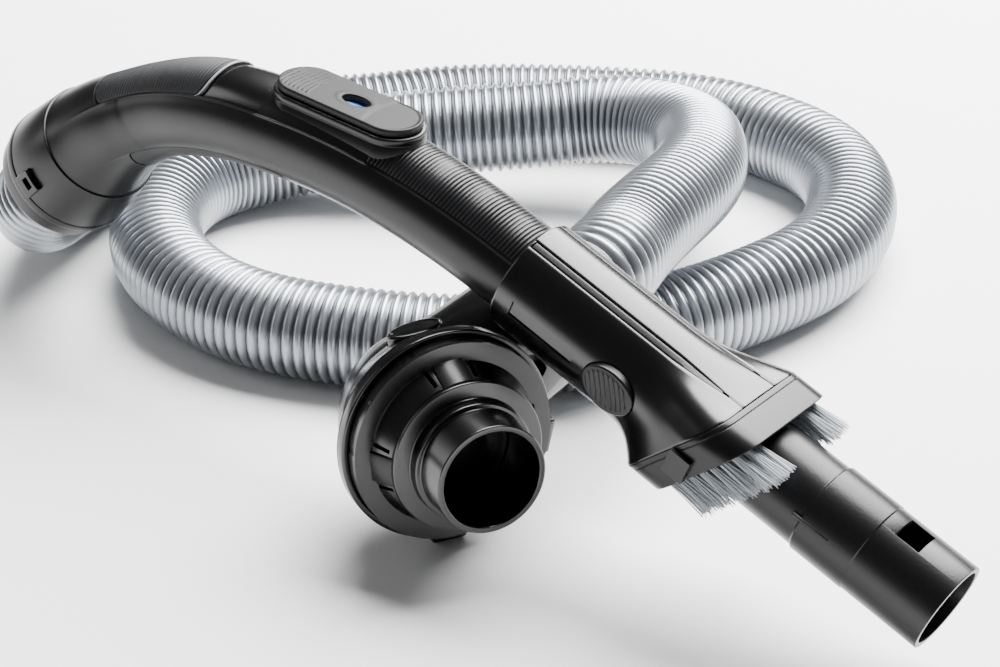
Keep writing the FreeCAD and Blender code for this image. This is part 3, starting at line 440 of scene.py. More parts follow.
def stadium_outline(length, width, count=160):
    """A round-ended outline in XY, its points evenly spaced round it."""
    half, r = (length - width) / 2, width / 2
    total = 4 * half + 2 * np.pi * r
    u = (np.arange(count) / count) * total
    arc = np.pi * r
    x = np.select([u < arc, u < arc + 2 * half, u < 2 * arc + 2 * half],
                  [half + r * np.cos(u / r - np.pi / 2), half - (u - arc),
                   -half - r * np.sin((u - arc - 2 * half) / r)], -half + (u - 2 * arc - 2 * half))
    y = np.select([u < arc, u < arc + 2 * half, u < 2 * arc + 2 * half],
                  [r * np.sin(u / r - np.pi / 2), r + 0 * u,
                   r * np.cos((u - arc - 2 * half) / r)], -r)
    return np.stack([x, y], 1)


def plug(outline, levels):
    """Sections of one outline pulled in by a distance at each height: levels are (inset, z)."""
    nxt, prv = np.roll(outline, -1, 0), np.roll(outline, 1, 0)
    along = nxt - prv
    normal = np.stack([along[:, 1], -along[:, 0]], 1)
    normal /= np.linalg.norm(normal, axis=1, keepdims=True)
    rings = [np.column_stack([outline - normal * inset, np.full(len(outline), z)]) for inset, z in levels]
    return np.array(rings)


def box_solid(low, high):
    """A plain box."""
    l, h = np.asarray(low, float), np.asarray(high, float)
    c = np.array([[l[0], l[1]], [h[0], l[1]], [h[0], h[1]], [l[0], h[1]]])
    return bar_solid(np.array([np.column_stack([c, np.full(4, z)]) for z in (l[2], h[2])]))


def moved(solid, place):
    """A solid's points taken from one frame into its parent."""
    return to_world(solid[0], place), solid[1]


# ---------------------------------------------------------------- hose
ROUTE = np.array([
    (-229.3, -36.4, 40.7), (-264.2, 11.7, 21.0), (-273.2, 70.5, 21.0),
    (-256.2, 126.7, 21.0), (-213.4, 161.5, 21.0), (-183.4, 205.0, 21.0), (-134.1, 240.4, 21.0),
    (-72.8, 273.0, 21.0), (9.9, 259.1, 21.0), (52.6, 183.4, 21.0), (40.5, 104.4, 21.0),
    (9.0, 37.4, 21.0), (-52.3, -7.4, 21.0), (-124.0, -32.3, 21.0), (-193.9, -7.8, 21.0),
    (-229.3, 48.5, 21.0), (-213.2, 99.6, 22.5), (-164.3, 138.6, 34.1), (-115.5, 178.2, 37.9),
    (-93.6, 197.5, 41.0), (-64.2, 203.5, 44.2), (-36.2, 193.0, 48.5), (-15.0, 166.0, 54.0),
    (4.6, 132.2, 60.2), (18.9, 78.4, 67.6), (26.0, 48.0, 68.5), (40.0, 17.0, 75.5)])
ROUTE = ROUTE - np.array([ORIGIN_X, ORIGIN_Y, 0])
start = to_world(np.array([[0, 0, 2.0], [0, 0, 52.0]]), SOCKET)
end = to_world(np.array([[0, 0, 74.0], [0, 0, 46.0]]), NECK)
ROUTE = np.vstack([start, ROUTE, end]) * 0.001

line = bpy.data.curves.new("hose_line", "CURVE")
line.dimensions = "3D"
line.resolution_u = 24
spline = line.splines.new("NURBS")
spline.points.add(len(ROUTE) - 1)
spline.points.foreach_set("co", np.column_stack([ROUTE, np.ones(len(ROUTE))]).ravel())
spline.order_u = 3
spline.use_endpoint_u = True
line_object = bpy.data.objects.new("hose_line", line)
bpy.context.scene.collection.objects.link(line_object)
graph = bpy.context.evaluated_depsgraph_get()
track = bpy.data.meshes.new_from_object(line_object.evaluated_get(graph))
path = np.zeros(len(track.vertices) * 3)
track.vertices.foreach_get("co", path)
path = path.reshape(-1, 3)
bpy.data.objects.remove(line_object)
step = np.linalg.norm(np.diff(path, axis=0), axis=1)
path = path[np.concatenate([[True], step > 1e-7])]
step = np.linalg.norm(np.diff(path, axis=0), axis=1)
along = np.concatenate([[0], np.cumsum(step)])
HOSE_LENGTH = along[-1]
PITCH = 0.0046
SAMPLES = 7


def carried_frames(points):
    """Unit normals along a line, each one the last with its part along the line taken out, so that
    they never twist."""
    tangent = np.gradient(points, axis=0)
    tangent /= np.linalg.norm(tangent, axis=1, keepdims=True)
    normals = np.zeros_like(points)
    n = np.cross(tangent[0], [0, 1, 0])
    for i, t in enumerate(tangent):
        n = n - t * np.dot(n, t)
        n = n / np.linalg.norm(n)
        normals[i] = n
    return tangent, normals, np.cross(tangent, normals)


def hose_surface(around=34):
    """Corrugated tube: centre(s) + r(s) (cos a n + sin a b), where r(s) swings between a crest of
    21.0 mm and a root of 18.6 mm every pitch, with crests flatter than the roots."""
    count = int(HOSE_LENGTH / PITCH) * SAMPLES
    s = np.linspace(0, HOSE_LENGTH, count)
    centre = np.stack([np.interp(s, along, path[:, k]) for k in range(3)], 1)
    kernel = np.hanning(2 * SAMPLES + 3)
    kernel /= kernel.sum()
    pad = len(kernel) // 2
    smoothed = np.stack([np.convolve(np.pad(centre[:, k], pad, mode="reflect", reflect_type="odd"),
                                     kernel, "valid") for k in range(3)], 1)
    _, n, b = carried_frames(smoothed)
    phase = np.cos(2 * np.pi * np.arange(count) / SAMPLES)
    crest = np.sqrt(np.clip(0.5 + 0.5 * phase, 0, 1))
    r = 0.0186 + 0.0024 * crest
    plain_end = (s < 0.016) | (s > HOSE_LENGTH - 0.012)
    r = np.where(plain_end, 0.0206, r)
    a = np.linspace(0, 2 * np.pi, around, endpoint=False)
    ring = np.cos(a)[None, :, None] * n[:, None] + np.sin(a)[None, :, None] * b[:, None]
    grid = smoothed[:, None] + r[:, None, None] * ring
    inner = smoothed[::SAMPLES][:, None] + 0.0172 * ring[::SAMPLES]
    return grid, inner, crest, smoothed


grid, inner, crest, centre_line = hose_surface()
sections = np.concatenate([grid, inner[::-1]])
hose = piece("suction_hose_corrugated", [ring_solid(sections * 1000)], WORLD, SILVER_EVA,
             "hose_assembly", "suction_hose", sharp=80)
shade = hose.data.attributes.new("crest", "FLOAT", "POINT")
# the inside of the hose gets crest 0, so it takes the dark valley colour: painted shade
values = np.concatenate([np.repeat(crest, grid.shape[1]), np.zeros(inner.shape[0] * inner.shape[1])])
shade.data.foreach_set("value", values.astype(np.float32))

# ---------------------------------------------------------------- curved handle
STATION_S = np.array([22, 0, -22.5, -75, -125, -154.8, -178.4, -198.9, -214.3, -227.6])
STATION_R = np.array([17.6, 18.0, 18.2, 18.6, 19.6, 19.7, 19.2, 20.2, 22.6, 25.0])


def even_curve(x, xs, ys):
    """A smooth curve through points: cubic pieces whose slopes are the mean of their neighbours'."""
    slope = np.gradient(ys, xs)
    i = np.clip(np.searchsorted(xs, x) - 1, 0, len(xs) - 2)
    h = xs[i + 1] - xs[i]
    t = (x - xs[i]) / h
    return ((2 * t ** 3 - 3 * t ** 2 + 1) * ys[i] + (t ** 3 - 2 * t ** 2 + t) * h * slope[i]
            + (3 * t ** 2 - 2 * t ** 3) * ys[i + 1] + (t ** 3 - t ** 2) * h * slope[i + 1])


def body_radius(s):
    """The handle's radius at arc length s."""
    return even_curve(np.asarray(s, float), STATION_S[::-1], STATION_R[::-1])


def handle_line(s):
    """Centre and upward normal at arc length s from the joint: straight, then a 330 mm bow, then a
    140 mm hook."""
    s = np.asarray(s, float)
    bow_len = BOW * tilt
    straight_c = JOINT + s[..., None] * np.array([math.cos(tilt), 0, -math.sin(tilt)])
    straight_n = np.broadcast_to(np.array([math.sin(tilt), 0, math.cos(tilt)]), straight_c.shape)
    a = tilt + s / BOW
    bow_n = np.stack([np.sin(a), 0 * a, np.cos(a)], -1)
    h = (-s - bow_len) / HOOK
    hook_n = np.stack([-np.sin(h), 0 * h, np.cos(h)], -1)
    on_tube = (s >= 0)[..., None]
    on_bow = (s > -bow_len)[..., None]
    centre = np.where(on_tube, straight_c,
                      np.where(on_bow, BOW_CENTRE + BOW * bow_n, HOOK_CENTRE + HOOK * hook_n))
    normal = np.where(on_tube, straight_n, np.where(on_bow, bow_n, hook_n))
    return centre, normal


def on_handle(s, angle, r):
    """centre(s) + r (cos angle up + sin angle towards the near side)."""
    centre, normal = handle_line(s)
    near = np.array([0, -1.0, 0])
    return centre + r[..., None] * (np.cos(angle)[..., None] * normal + np.sin(angle)[..., None] * near)


def edge_drop(distance, radius):
    """How far a rounded edge has fallen at a distance in from it."""
    d = np.clip(radius - distance, 0, radius)
    return radius - np.sqrt(radius ** 2 - d ** 2)


def spaced(a, b, count, edge=1.2):
    """Values from a to b, close together near both ends."""
    inside = np.linspace(a + edge, b - edge, count)
    fine = edge * np.array([0, 0.04, 0.15, 0.35, 0.65])
    return np.concatenate([a + fine, inside, (b - fine)[::-1]])


def handle_panel(s0, s1, edge_angle, count_s, lift=0.0, depth=1.4, relief=None, under=False, radius=0.6,
                 count_a=30, end_round=(0.0, 0.0)):
    """A panel inlaid in the handle: outer height body_radius(s) + lift + relief(s, angle), rounded
    off at its borders; its back lies depth below.  edge_angle(s) is its half width as an angle.
    end_round pulls the corners of its two ends in, so that they are arcs seen from above."""
    s_line = spaced(s0, s1, count_s)
    a_line = np.concatenate([[-1, -0.985, -0.96, -0.92], np.linspace(-0.87, 0.87, count_a),
                             [0.92, 0.96, 0.985, 1]])
    s, a = np.meshgrid(s_line, a_line, indexing="ij")
    mid = (s0 + s1) / 2
    start_pull, end_pull = zone_pull(a, end_round[0]), zone_pull(a, end_round[1])
    s = s + np.where(s < mid, start_pull, -end_pull) * np.clip(1 - np.minimum(s - s0, s1 - s) / 25.0, 0, 1)
    half = edge_angle(s)
    angle = a * half + (np.pi if under else 0)
    r = body_radius(s)
    to_side = (1 - np.abs(a)) * half * r
    to_end = np.minimum(s_line - s0, s1 - s_line)[:, None]
    drop = np.maximum(edge_drop(to_side, radius), edge_drop(to_end, radius))
    out = r + lift - drop
    if relief is not None:
        out = out + relief(s, a) * np.clip(np.minimum(to_side, to_end) / 2.0, 0, 1)
    top = on_handle(s, angle, out)
    back = on_handle(s, angle, r - depth)
    return bar_solid(np.concatenate([top, back[:, ::-1]], axis=1))


def top_edge(s):
    """Half width of the top panels: where the body is 11 mm above its centreline."""
    return np.arccos(11.0 / body_radius(s))


def under_edge(s):
    """Half width of the under insert: where the body is 11.5 mm below its centreline."""
    return np.arccos(11.5 / body_radius(s))


def zone_pull(a, size):
    """How far a round end has drawn in at a share a of the half width."""
    return size * (1 - np.sqrt(np.clip(1 - np.clip(np.abs(a), 0, 1) ** 2, 0, 1)))


def shell_surface():
    """The whole handle body: r = body_radius(s), sunk where the top and under panels lie, with a
    fine raised bead along the border of the top panels.  Near a round-ended zone the lines across
    the handle bend with its end, so that the border is one line of the grid."""
    zones = [(-203.0, -113.0, 3.0, 1), (-62.0, 9.0, 2.0, 1), (-198.0, -98.0, 1.4, -1)]
    marks = np.array([z for zone in zones for z in zone[:2]])
    s_line = np.concatenate([np.linspace(-227.6, 22, 190)]
                            + [marks + d for d in (-0.5, -0.25, -0.1, 0, 0.12)])
    s_line = np.unique(np.round(s_line, 4))
    top = np.linspace(-1, 1, 33)[1:-1]
    gap = np.array([-1.07, -1.052, -1.04, -1.028, -1.016, -1.006, -1, -0.99])
    share = np.concatenate([gap, top, -gap[::-1]])
    s = s_line[:, None]
    t_edge, u_edge = top_edge(s), np.pi - under_edge(s)
    upper = share[None, :] * t_edge
    low_share = np.linspace(0, 1, 15)[1:-1][None, :]
    side = 1.07 * t_edge + low_share * (u_edge - 0.07 - 1.07 * t_edge)
    under = np.pi + share[None, :] * (np.pi - u_edge)
    angle = np.concatenate([upper, side, under, (2 * np.pi - side)[:, ::-1]], axis=1)
    from_top = np.abs((angle + np.pi) % (2 * np.pi) - np.pi) / t_edge
    from_under = np.abs((angle - np.pi + np.pi) % (2 * np.pi) - np.pi) / (np.pi - u_edge)
    near = [np.exp(-((s - end) / 14.0) ** 4) for end in (-203.0, -198.0, -98.0)]
    down = np.clip((from_top - 1.07) * t_edge / (u_edge - 0.07 - 1.07 * t_edge), 0, 1)
    shift = ((1 - down) * zone_pull(from_top, 7.0) * near[0]
             + down * zone_pull(from_under, 7.0) * (near[1] - near[2]))
    r = body_radius(s) + 0 * angle
    for s0, s1, depth, way in zones:
        share_a = from_top if way > 0 else from_under
        half = t_edge if way > 0 else np.pi - u_edge
        inside_s = np.clip(np.minimum(s - s0, s1 - s) / 0.12, 0, 1)
        inside_a = np.clip((1 - share_a) * half * r / 0.12, 0, 1)
        r = r - depth * inside_s * inside_a
        on_border = np.exp(-(((share_a - 1.034) * half * 18.5) / 0.28) ** 2) * (s > s0 + 4) * (s < s1 + 12)
        r = r + 0.22 * on_border * (way > 0)
    long_seam = np.exp(-(((from_top - 1.034) * t_edge * 18.5) / 0.28) ** 2) * (s > -114) * (s < -61)
    return bar_solid(on_handle(s + shift, angle, r + 0.35 * long_seam))


def cross_ribs(pitch, height):
    """Rounded ribs across the panel, one every pitch."""
    return lambda s, a: height * (np.abs(np.cos(np.pi * s / pitch)) ** 0.7 - 1.0)


piece("handle_body", [shell_surface()], HANDLE, SATIN_ABS, "hose_assembly", "handle_shell")
piece("grip_top_cover", [handle_panel(-202.8, -113.1, top_edge, 60, lift=-1.4, depth=3.0,
                                      end_round=(7.0, 0.0))],
      HANDLE, GLOSS_ABS, "hose_assembly", "handle_top_cover")
piece("grip_ribbed_insert", [handle_panel(-202.7, -139.7, top_edge, 300, depth=1.4,
                                          relief=cross_ribs(1.55, 0.42), end_round=(7.0, 5.0))],
      HANDLE, TPE, "hose_assembly", "top_grip_insert")
piece("grip_under_insert", [handle_panel(-197.8, -98.2, under_edge, 60, lift=0.1, depth=1.3, under=True,
                                         end_round=(7.0, 7.0))],
      HANDLE, TPE, "hose_assembly", "under_grip_insert")
piece("ribbed_front_cover", [handle_panel(-62, 9, top_edge, 340, depth=2.4, relief=cross_ribs(1.6, 0.45))],
      HANDLE, MATT_ABS, "hose_assembly", "ribbed_cover")


def rim_strip():
    """A thin raised rim on an arc across the handle: its line bows towards the hose by 7 mm at its
    ends; a 1.1 mm wide half-round bead."""
    a = np.linspace(-1, 1, 61)
    s_mid = -139.3 + 0.6 - zone_pull(a, 5.0)
    v = np.linspace(0, 2 * np.pi, 16, endpoint=False)
    s = s_mid[:, None] + 0.5 * np.cos(v)
    angle = (a * top_edge(s_mid))[:, None] + 0 * v
    r = body_radius(s_mid)[:, None] - 0.45 + 0.5 * np.sin(v)
    return bar_solid(on_handle(s, angle, r))


piece("grip_light_rim", [rim_strip()], HANDLE, GREY_TRIM, "hose_assembly", "grip_end_rim")

# ---------------------------------------------------------------- wand tube
REAR_RADIUS, SEAT_RADIUS, END_RADIUS = 16.9, 17.7, 17.4
WALL = [(22, REAR_RADIUS), (146.2, REAR_RADIUS), (146.9, SEAT_RADIUS), (169, SEAT_RADIUS),
        (169.3, END_RADIUS), (202, END_RADIUS)]
tube = piece("wand_tube_finished", [turned([(r, x) for x, r in WALL] + [(15.2, 202), (15.2, 22)], 0.3, 160)],
             WAND_Z, MATT_ABS, sharp=40)
window = piece("window_cutter", [box_solid((175, -5.75, 10), (185, 5.75, 30))], WAND, MATT_ABS)
combine(tube, window)
soften(tube, 0.15)
stand_for(tube, "wand_tube", "hose_assembly")
ribs = []
for side in (75, -75):
    low = box_solid((143, -0.7, 16.3), (159, 0.7, 18.0))
    ribs.append(moved(low, frame_at((0, 0, 0), turn_x(side))))
piece("wand_side_ribs", ribs, WAND, MATT_ABS, "hose_assembly", bevel=0.4)

# ---------------------------------------------------------------- sliding dusting brush
LEAN = math.tan(math.radians(30))
FLARE, REAR, FRONT = 66.0, 95.6, 109.6
HALF, TALL, CORNER = 29.5, 22.2, 12.0


def boxed(angle, inset):
    """A point of the collar's flat-sided section, at an angle from the top towards the near side."""
    half, tall, corner = HALF - inset, TALL - inset, CORNER - inset
    across, up = np.sin(angle), np.cos(angle)
    reach = np.minimum(half / np.maximum(np.abs(across), 1e-9), tall / np.maximum(np.abs(up), 1e-9))
    y, z = reach * np.abs(across), reach * np.abs(up)
    cy, cz = half - corner, tall - corner
    dot = np.abs(across) * cy + np.abs(up) * cz
    far = dot + np.sqrt(np.maximum(dot ** 2 - (cy ** 2 + cz ** 2 - corner ** 2), 0))
    round_it = (y > cy) & (z > cz)
    reach = np.where(round_it, far, reach)
    return -np.sin(angle) * reach, np.cos(angle) * reach


SHARES = np.array([-0.2, 0, 0.22, 0.48, 0.76, 1.0])
BLENDS = np.array([0.0, 0, 0.04, 0.26, 0.64, 1.0])


def brush_skin(row, angle, inset):
    """The brush body: row is x up to the flare (66), then 66 + share * 29.6 up to the collar; the
    section goes from round to flat-sided, r = r_round + (r_boxed - r_round) blend(share)."""
    share = np.clip((row - FLARE) / (REAR - FLARE), 0, 1)
    blend = np.clip(even_curve(share, SHARES, BLENDS), 0, 1)
    by, bz = boxed(angle, inset)
    ry, rz = -np.sin(angle) * (22.0 - inset), np.cos(angle) * (22.0 - inset)
    y, z = ry + (by - ry) * blend, rz + (bz - rz) * blend
    x = np.where(row < FLARE, row, FLARE + (REAR + LEAN * z - FLARE) * share)
    return np.stack([x, y, z], -1)


STRIP_AT = math.radians(24.5)


def strip_half(row):
    """Half width of the inlaid strip as an angle; it runs out to a point before the collar."""
    wide = 1.7 * np.clip((91.0 - row) / 16.0, 0.05, 1) ** 0.7
    return wide / 22.6


def strip_angles(row):
    """Angles of one half of the section, with lines on both borders of the strip."""
    h = strip_half(row)
    a = [np.linspace(0, 1, 10)[None, :-1] * (STRIP_AT - h - 0.012)]
    marks = [STRIP_AT - h - 0.012, STRIP_AT - h - 0.003, STRIP_AT - h, STRIP_AT - h + 0.003, STRIP_AT,
             STRIP_AT + h - 0.003, STRIP_AT + h, STRIP_AT + h + 0.003]
    a += [m + 0 * h for m in marks]
    start = STRIP_AT + h + 0.012
    a += [start + np.linspace(0, 1, 56)[None, :] * (np.pi - start)]
    return np.concatenate(a, axis=1)


def sleeve_solid():
    """The brush sleeve: its outside with the seats of the two strips, its inside and its rear lip."""
    rows = np.unique(np.concatenate([np.linspace(9.0, 66, 44), np.linspace(66, 95.6, 34),
                                     [9.15, 9.4, 9.8, 95.45, 95.2], [9.9, 10.1, 91.0, 91.2]]))[:, None]
    half = strip_angles(rows)
    angle = np.concatenate([half, 2 * np.pi - half[:, -2:0:-1]], axis=1)
    from_top = np.minimum(angle, 2 * np.pi - angle)
    h = strip_half(rows)
    inside = (np.abs(from_top - STRIP_AT) < h + 0.0015) & (rows > 10.0) & (rows < 91.1)
    edge = np.maximum(edge_drop(rows - 9.0, 0.8), edge_drop(95.6 - rows, 0.5))
    depth = 0.8 * inside + edge + 0.12 * (np.abs(np.abs(from_top - STRIP_AT) - h) < 0.0035)
    outer = brush_skin(rows + 0 * angle, angle, depth)
    inner_rows = np.linspace(95.6, 12.0, 30)[:, None]
    inner = brush_skin(inner_rows + 0 * angle[:1], 0 * inner_rows + angle[:1], 2.0)
    lip = [brush_skin(np.full(angle[:1].shape, x), angle[:1], r)[0]
           for x, r in ((12.0, 3.6), (9.4, 3.6), (9.0, 3.2))]
    return ring_solid(np.concatenate([outer, inner, np.array(lip)]))


def strip_solid(side):
    """The inlaid strip: a bar over the floor of its groove, a little lower than the skin."""
    rows = spaced(10.3, 89.5, 70, 0.8)
    r = rows[:, None]
    h = strip_half(r) * 0.86
    k = np.array([-1, -0.97, -0.85, -0.5, 0, 0.5, 0.85, 0.97, 1])[None, :]
    fall = np.maximum(edge_drop(np.minimum(rows - 10.3, 89.5 - rows), 0.5)[:, None],
                      edge_drop((1 - np.abs(k)) * 1.5, 0.25))
    top = brush_skin(r + 0 * k, side * (STRIP_AT + h * k), 0.16 + fall)
    low = brush_skin(r + 0 * k, side * (STRIP_AT + h * k), 0.9 + 0 * fall)
    return bar_solid(np.concatenate([top, low[:, ::-1]], axis=1))


def oval_cutter(name, length, width, low, high, place):
    """A closed oval bar that takes an oval hole out."""
    o = oval_outline(length, width, 96)
    return piece(name, [bar_solid(np.array([np.column_stack([o, np.full(96, z)]) for z in (low, high)]))],
                 place, MATT_ABS)


def side_frame(x, angle):
    """A frame on the wand's axis whose Z points out at an angle from the top (+: near side)."""
    return within(WAND, (x, 0, 0), turn_x(angle))


sleeve = piece("brush_sleeve_finished", [sleeve_solid()], WAND, GLOSS_ABS)
cutters = []
for side in (1, -1):
    cutters.append(oval_cutter("hole", 23.8, 17.8, 14, 30, side_frame(64.5, side * 90)))
    recess = box_solid((17, -3, 21.2), (47, 3, 27))
    cutters.append(piece("recess", [recess], side_frame(0, side * 88), MATT_ABS))
for cutter in cutters:
    combine(sleeve, cutter)
smooth(sleeve.data, 40)
soften(sleeve, 0.18)
stand_for(sleeve, "brush_sleeve", "dusting_brush")
for side, name in ((1, "near"), (-1, "far")):
    piece(f"brush_strip_{name}", [strip_solid(side)], WAND, MATT_ABS, "dusting_brush", f"sleeve_strip_{name}")


def dished_oval(length, width, low, high, relief, rings=46, count=144, edge=0.9):
    """An oval block: straight side, rounded rim, then a face whose height is high + relief(x, y)."""
    o = oval_outline(length, width, count)
    t = np.linspace(0, 1, 7)
    rim = [(0, low), (0, high - edge)]
    rim += [(edge * (1 - math.cos(u * math.pi / 2)), high - edge + edge * math.sin(u * math.pi / 2))
            for u in t[1:]]
    sections = list(plug(o, rim))
    top = sections[-1]
    for k in np.linspace(1, 0.02, rings)[1:]:
        xy = top[:, :2] * k
        fade = np.clip((1 - k) * width / 2 / 1.0, 0, 1)
        sections.append(np.column_stack([xy, high + relief(xy[:, 0], xy[:, 1]) * fade]))
    return bar_solid(np.array(sections))


def slanted_ribs(x, y):
    """Nine rounded ribs that lean across the button's face, on a face that is slightly dished."""
    d = x * math.cos(0.5) + y * math.sin(0.5)
    ribs = 0.5 * np.clip(np.cos(2 * np.pi * d / 2.1), -0.3, 1)
    span = (x / 9.6) ** 2 + (y / 6.6) ** 2
    return -0.5 * np.clip(1.15 - span, 0, 1) + ribs * np.clip((1.02 - span) * 5, 0, 1)


for side, name in ((1, "near"), (-1, "far")):
    piece(f"brush_release_{name}", [dished_oval(23, 17, 19.4, 23.6, slanted_ribs)],
          side_frame(64.5, side * 90), MATT_ABS, f"brush_press_{name}", f"brush_button_{name}")


def collar_solid():
    """The brush collar: a flat-sided ring between two planes that lean with the bristles."""
    outline = rounded([(0, REAR), (0, REAR + 2.2), (0.35, REAR + 2.5), (0, REAR + 2.8), (0, FRONT),
                       (2.2, FRONT), (2.2, REAR)], 0.6, 5)
    angle = np.linspace(0, 2 * np.pi, 192, endpoint=False)
    y, z = boxed(angle[None, :], outline[:, 0][:, None])
    return ring_solid(np.stack([outline[:, 1][:, None] + LEAN * z, y, z], -1))


def carrier_solid():
    """The bristle carrier: flat-sided outside, round inside, its face level with the collar."""
    angle = np.linspace(0, 2 * np.pi, 192, endpoint=False)
    y, z = boxed(angle, 2.35)
    yc, zc = -np.sin(angle) * 18.4, np.cos(angle) * 18.4
    rows = [(y, z, FRONT - 6), (y, z, FRONT - 1.6), (0.985 * y, 0.985 * z, FRONT - 1.4),
            (yc, zc, FRONT - 1.4), (yc, zc, FRONT - 6)]
    return ring_solid(np.array([np.stack([x + LEAN * b, a, b], -1) for a, b, x in rows]))


piece("brush_collar_finished", [collar_solid()], WAND, SATIN_ABS, "dusting_brush", "brush_collar", sharp=50)
piece("bristle_holder", [carrier_solid()], WAND, DARK_PP, "dusting_brush", "bristle_carrier")

# the tufts stand in two rows round the ends of the carrier
spots = []
keep_in, keep_up, keep_corner = HALF - 5.4, TALL - 5.4, CORNER - 5.4
for i in range(7):
    z = (i - 3) * 4.6
    over = max(abs(z) - (keep_up - keep_corner), 0)
    y = keep_in - keep_corner + math.sqrt(max(keep_corner ** 2 - over ** 2, 1))
    spots.append((y, z))
    inner_spot = (y - 4.4, z + 2.3)
    if i < 6 and math.hypot(*inner_spot) > 20.4:
        spots.append(inner_spot)
for z in (-keep_up + 0.8, keep_up - 0.8):
    spots += [(15.0, z), (19.8, z)]
spots = np.array([(side * y, z) for side in (-1, 1) for y, z in spots])
rng = np.random.default_rng(7)
HAIRS = 30
count = len(spots) * HAIRS
root_r = 1.45 * np.sqrt((np.tile(np.arange(HAIRS), len(spots)) + 0.5) / HAIRS)
root_a = np.tile(np.arange(HAIRS) * 2.39996, len(spots)) + rng.uniform(-0.2, 0.2, count)
root = np.repeat(spots, HAIRS, 0) + np.stack([root_r * np.cos(root_a), root_r * np.sin(root_a)], 1)
face = FRONT + LEAN * np.repeat(spots[:, 1], HAIRS)
reach = 16.9 - rng.uniform(0, 1.2, count)
spread_size = 0.10 * root_r / 1.45 + rng.uniform(0, 0.04, count)
spread = np.stack([np.cos(root_a), np.sin(root_a)], 1) * spread_size[:, None]
up_hair = np.linspace(0, 1, 4)
five = np.arange(5) * 2 * np.pi / 5
thick = 0.2 * (1 - 0.35 * up_hair ** 2)
# each hair: root + t (reach along the wand, spread aside t), with five flat sides
x = face[:, None] - 3.0 + (reach + 3.0)[:, None] * up_hair
yz = root[:, None, :] + spread[:, None, :] * (reach[:, None] * up_hair ** 1.5)[:, :, None]
ring5 = np.stack([np.cos(five), np.sin(five)], 1)
hair_yz = yz[:, :, None, :] + thick[None, :, None, None] * ring5[None, None]
hair = np.concatenate([np.broadcast_to(x[:, :, None, None], hair_yz.shape[:3] + (1,)), hair_yz], -1)
one_points, one_quads = bar_solid(hair[0])
tops = np.concatenate([hair.reshape(count, -1, 3), hair[:, 0].mean(1, keepdims=True),
                       hair[:, -1].mean(1, keepdims=True)], 1)
all_quads = (one_quads[None] + (np.arange(count) * tops.shape[1])[:, None, None]).reshape(-1, 4)
piece("bristles", [(tops.reshape(-1, 3), all_quads)], WAND, NYLON, "dusting_brush", "bristle_tufts", sharp=80)

# ---------------------------------------------------------------- hose socket and cuff
piece("hose_socket_finished",
      [turned([(14.2, 0), (25.8, 0), (28.3, 23.9), (25.4, 24), (25.4, 12), (19.4, 2)], 0.45)],
      SOCKET, SATIN_ABS, "hose_assembly", "hose_socket")
piece("socket_end_ring_finished", [turned([(24.4, 24.1), (28.5, 24.1), (28.5, 28), (24.4, 28)], 0.5)],
      SOCKET, SATIN_ABS, "hose_assembly", "socket_end_ring")
piece("hose_cuff_finished", [turned([(21.3, 20), (25.1, 20), (25.1, 23.7), (24.1, 23.7), (24.1, 28.3),
                                     (26.4, 28.3), (26.4, 36.5), (21.3, 36.5)], 0.5)],
      SOCKET, SATIN_ABS, "hose_cuff", "swivel_cuff")

# ---------------------------------------------------------------- control pod and slider
pod_sections = plug(stadium_outline(68, 26, 200),
                    [(0, 9.0), (0, 16.6), (0.3, 16.9), (0.3, 17.3), (0, 17.6), (0, 19.3), (0.1, 19.7),
                     (0.35, 20.02), (0.8, 20.2), (2.0, 20.2)])
piece("pod_body", [bar_solid(pod_sections)], POD, SATIN_ABS, "hose_assembly", "control_pod", sharp=50)


def lens_bulge(x, y):
    """A slightly domed face."""
    return 0.18 * (1 - (x / 11) ** 2 - (y / 4.5) ** 2)


window_pane = piece("suction_window", [dished_oval(22, 9, 19.1, 20.25, lens_bulge, 12, 96, 0.15)],
                    POD, BLUE_PC, "hose_assembly", "blue_indicator")
across = np.zeros(len(window_pane.data.vertices) * 3)
window_pane.data.vertices.foreach_get("co", across)
# share across the lens from its near edge to its far edge, for its painted highlight and painted shade
lens_light_and_shade = (to_world(across.reshape(-1, 3) * 1000 - POD[0], (np.zeros(3), POD[1].T))[:, 1]) / 4.5
window_pane.data.attributes.new("lens_light_and_shade", "FLOAT", "POINT").data.foreach_set("value", lens_light_and_shade.astype(np.float32))


def slider_height(x, y):
    """The slider's face: seven arched thumb ribs at the rear, a crease in front of the window, then
    a pad that is sunk by 0.35 mm and slightly hollow."""
    d = np.hypot(x - 8.0, y * 0.82)
    wave = 0.42 * np.clip(np.cos(2 * np.pi * (d - 23.2) / 2.05), -0.35, 1)
    in_ribs = (np.clip((d - 22.2) * 1.6, 0, 1) * np.clip((37.6 - d) * 1.6, 0, 1)
               * np.clip((9.2 - np.abs(y)) * 0.9, 0, 1) * (x < 0))
    pad = 1 / (1 + np.exp(-(x - 12.5 - 0.02 * y ** 2) * 4))
    eye_rim = np.exp(-((np.hypot((x - 3) / 8.0, y / 5.2) - 1) * 7) ** 2) * 0.12
    return wave * in_ribs - 0.38 * pad + 0.1 * pad * (y / 10) ** 2 + eye_rim


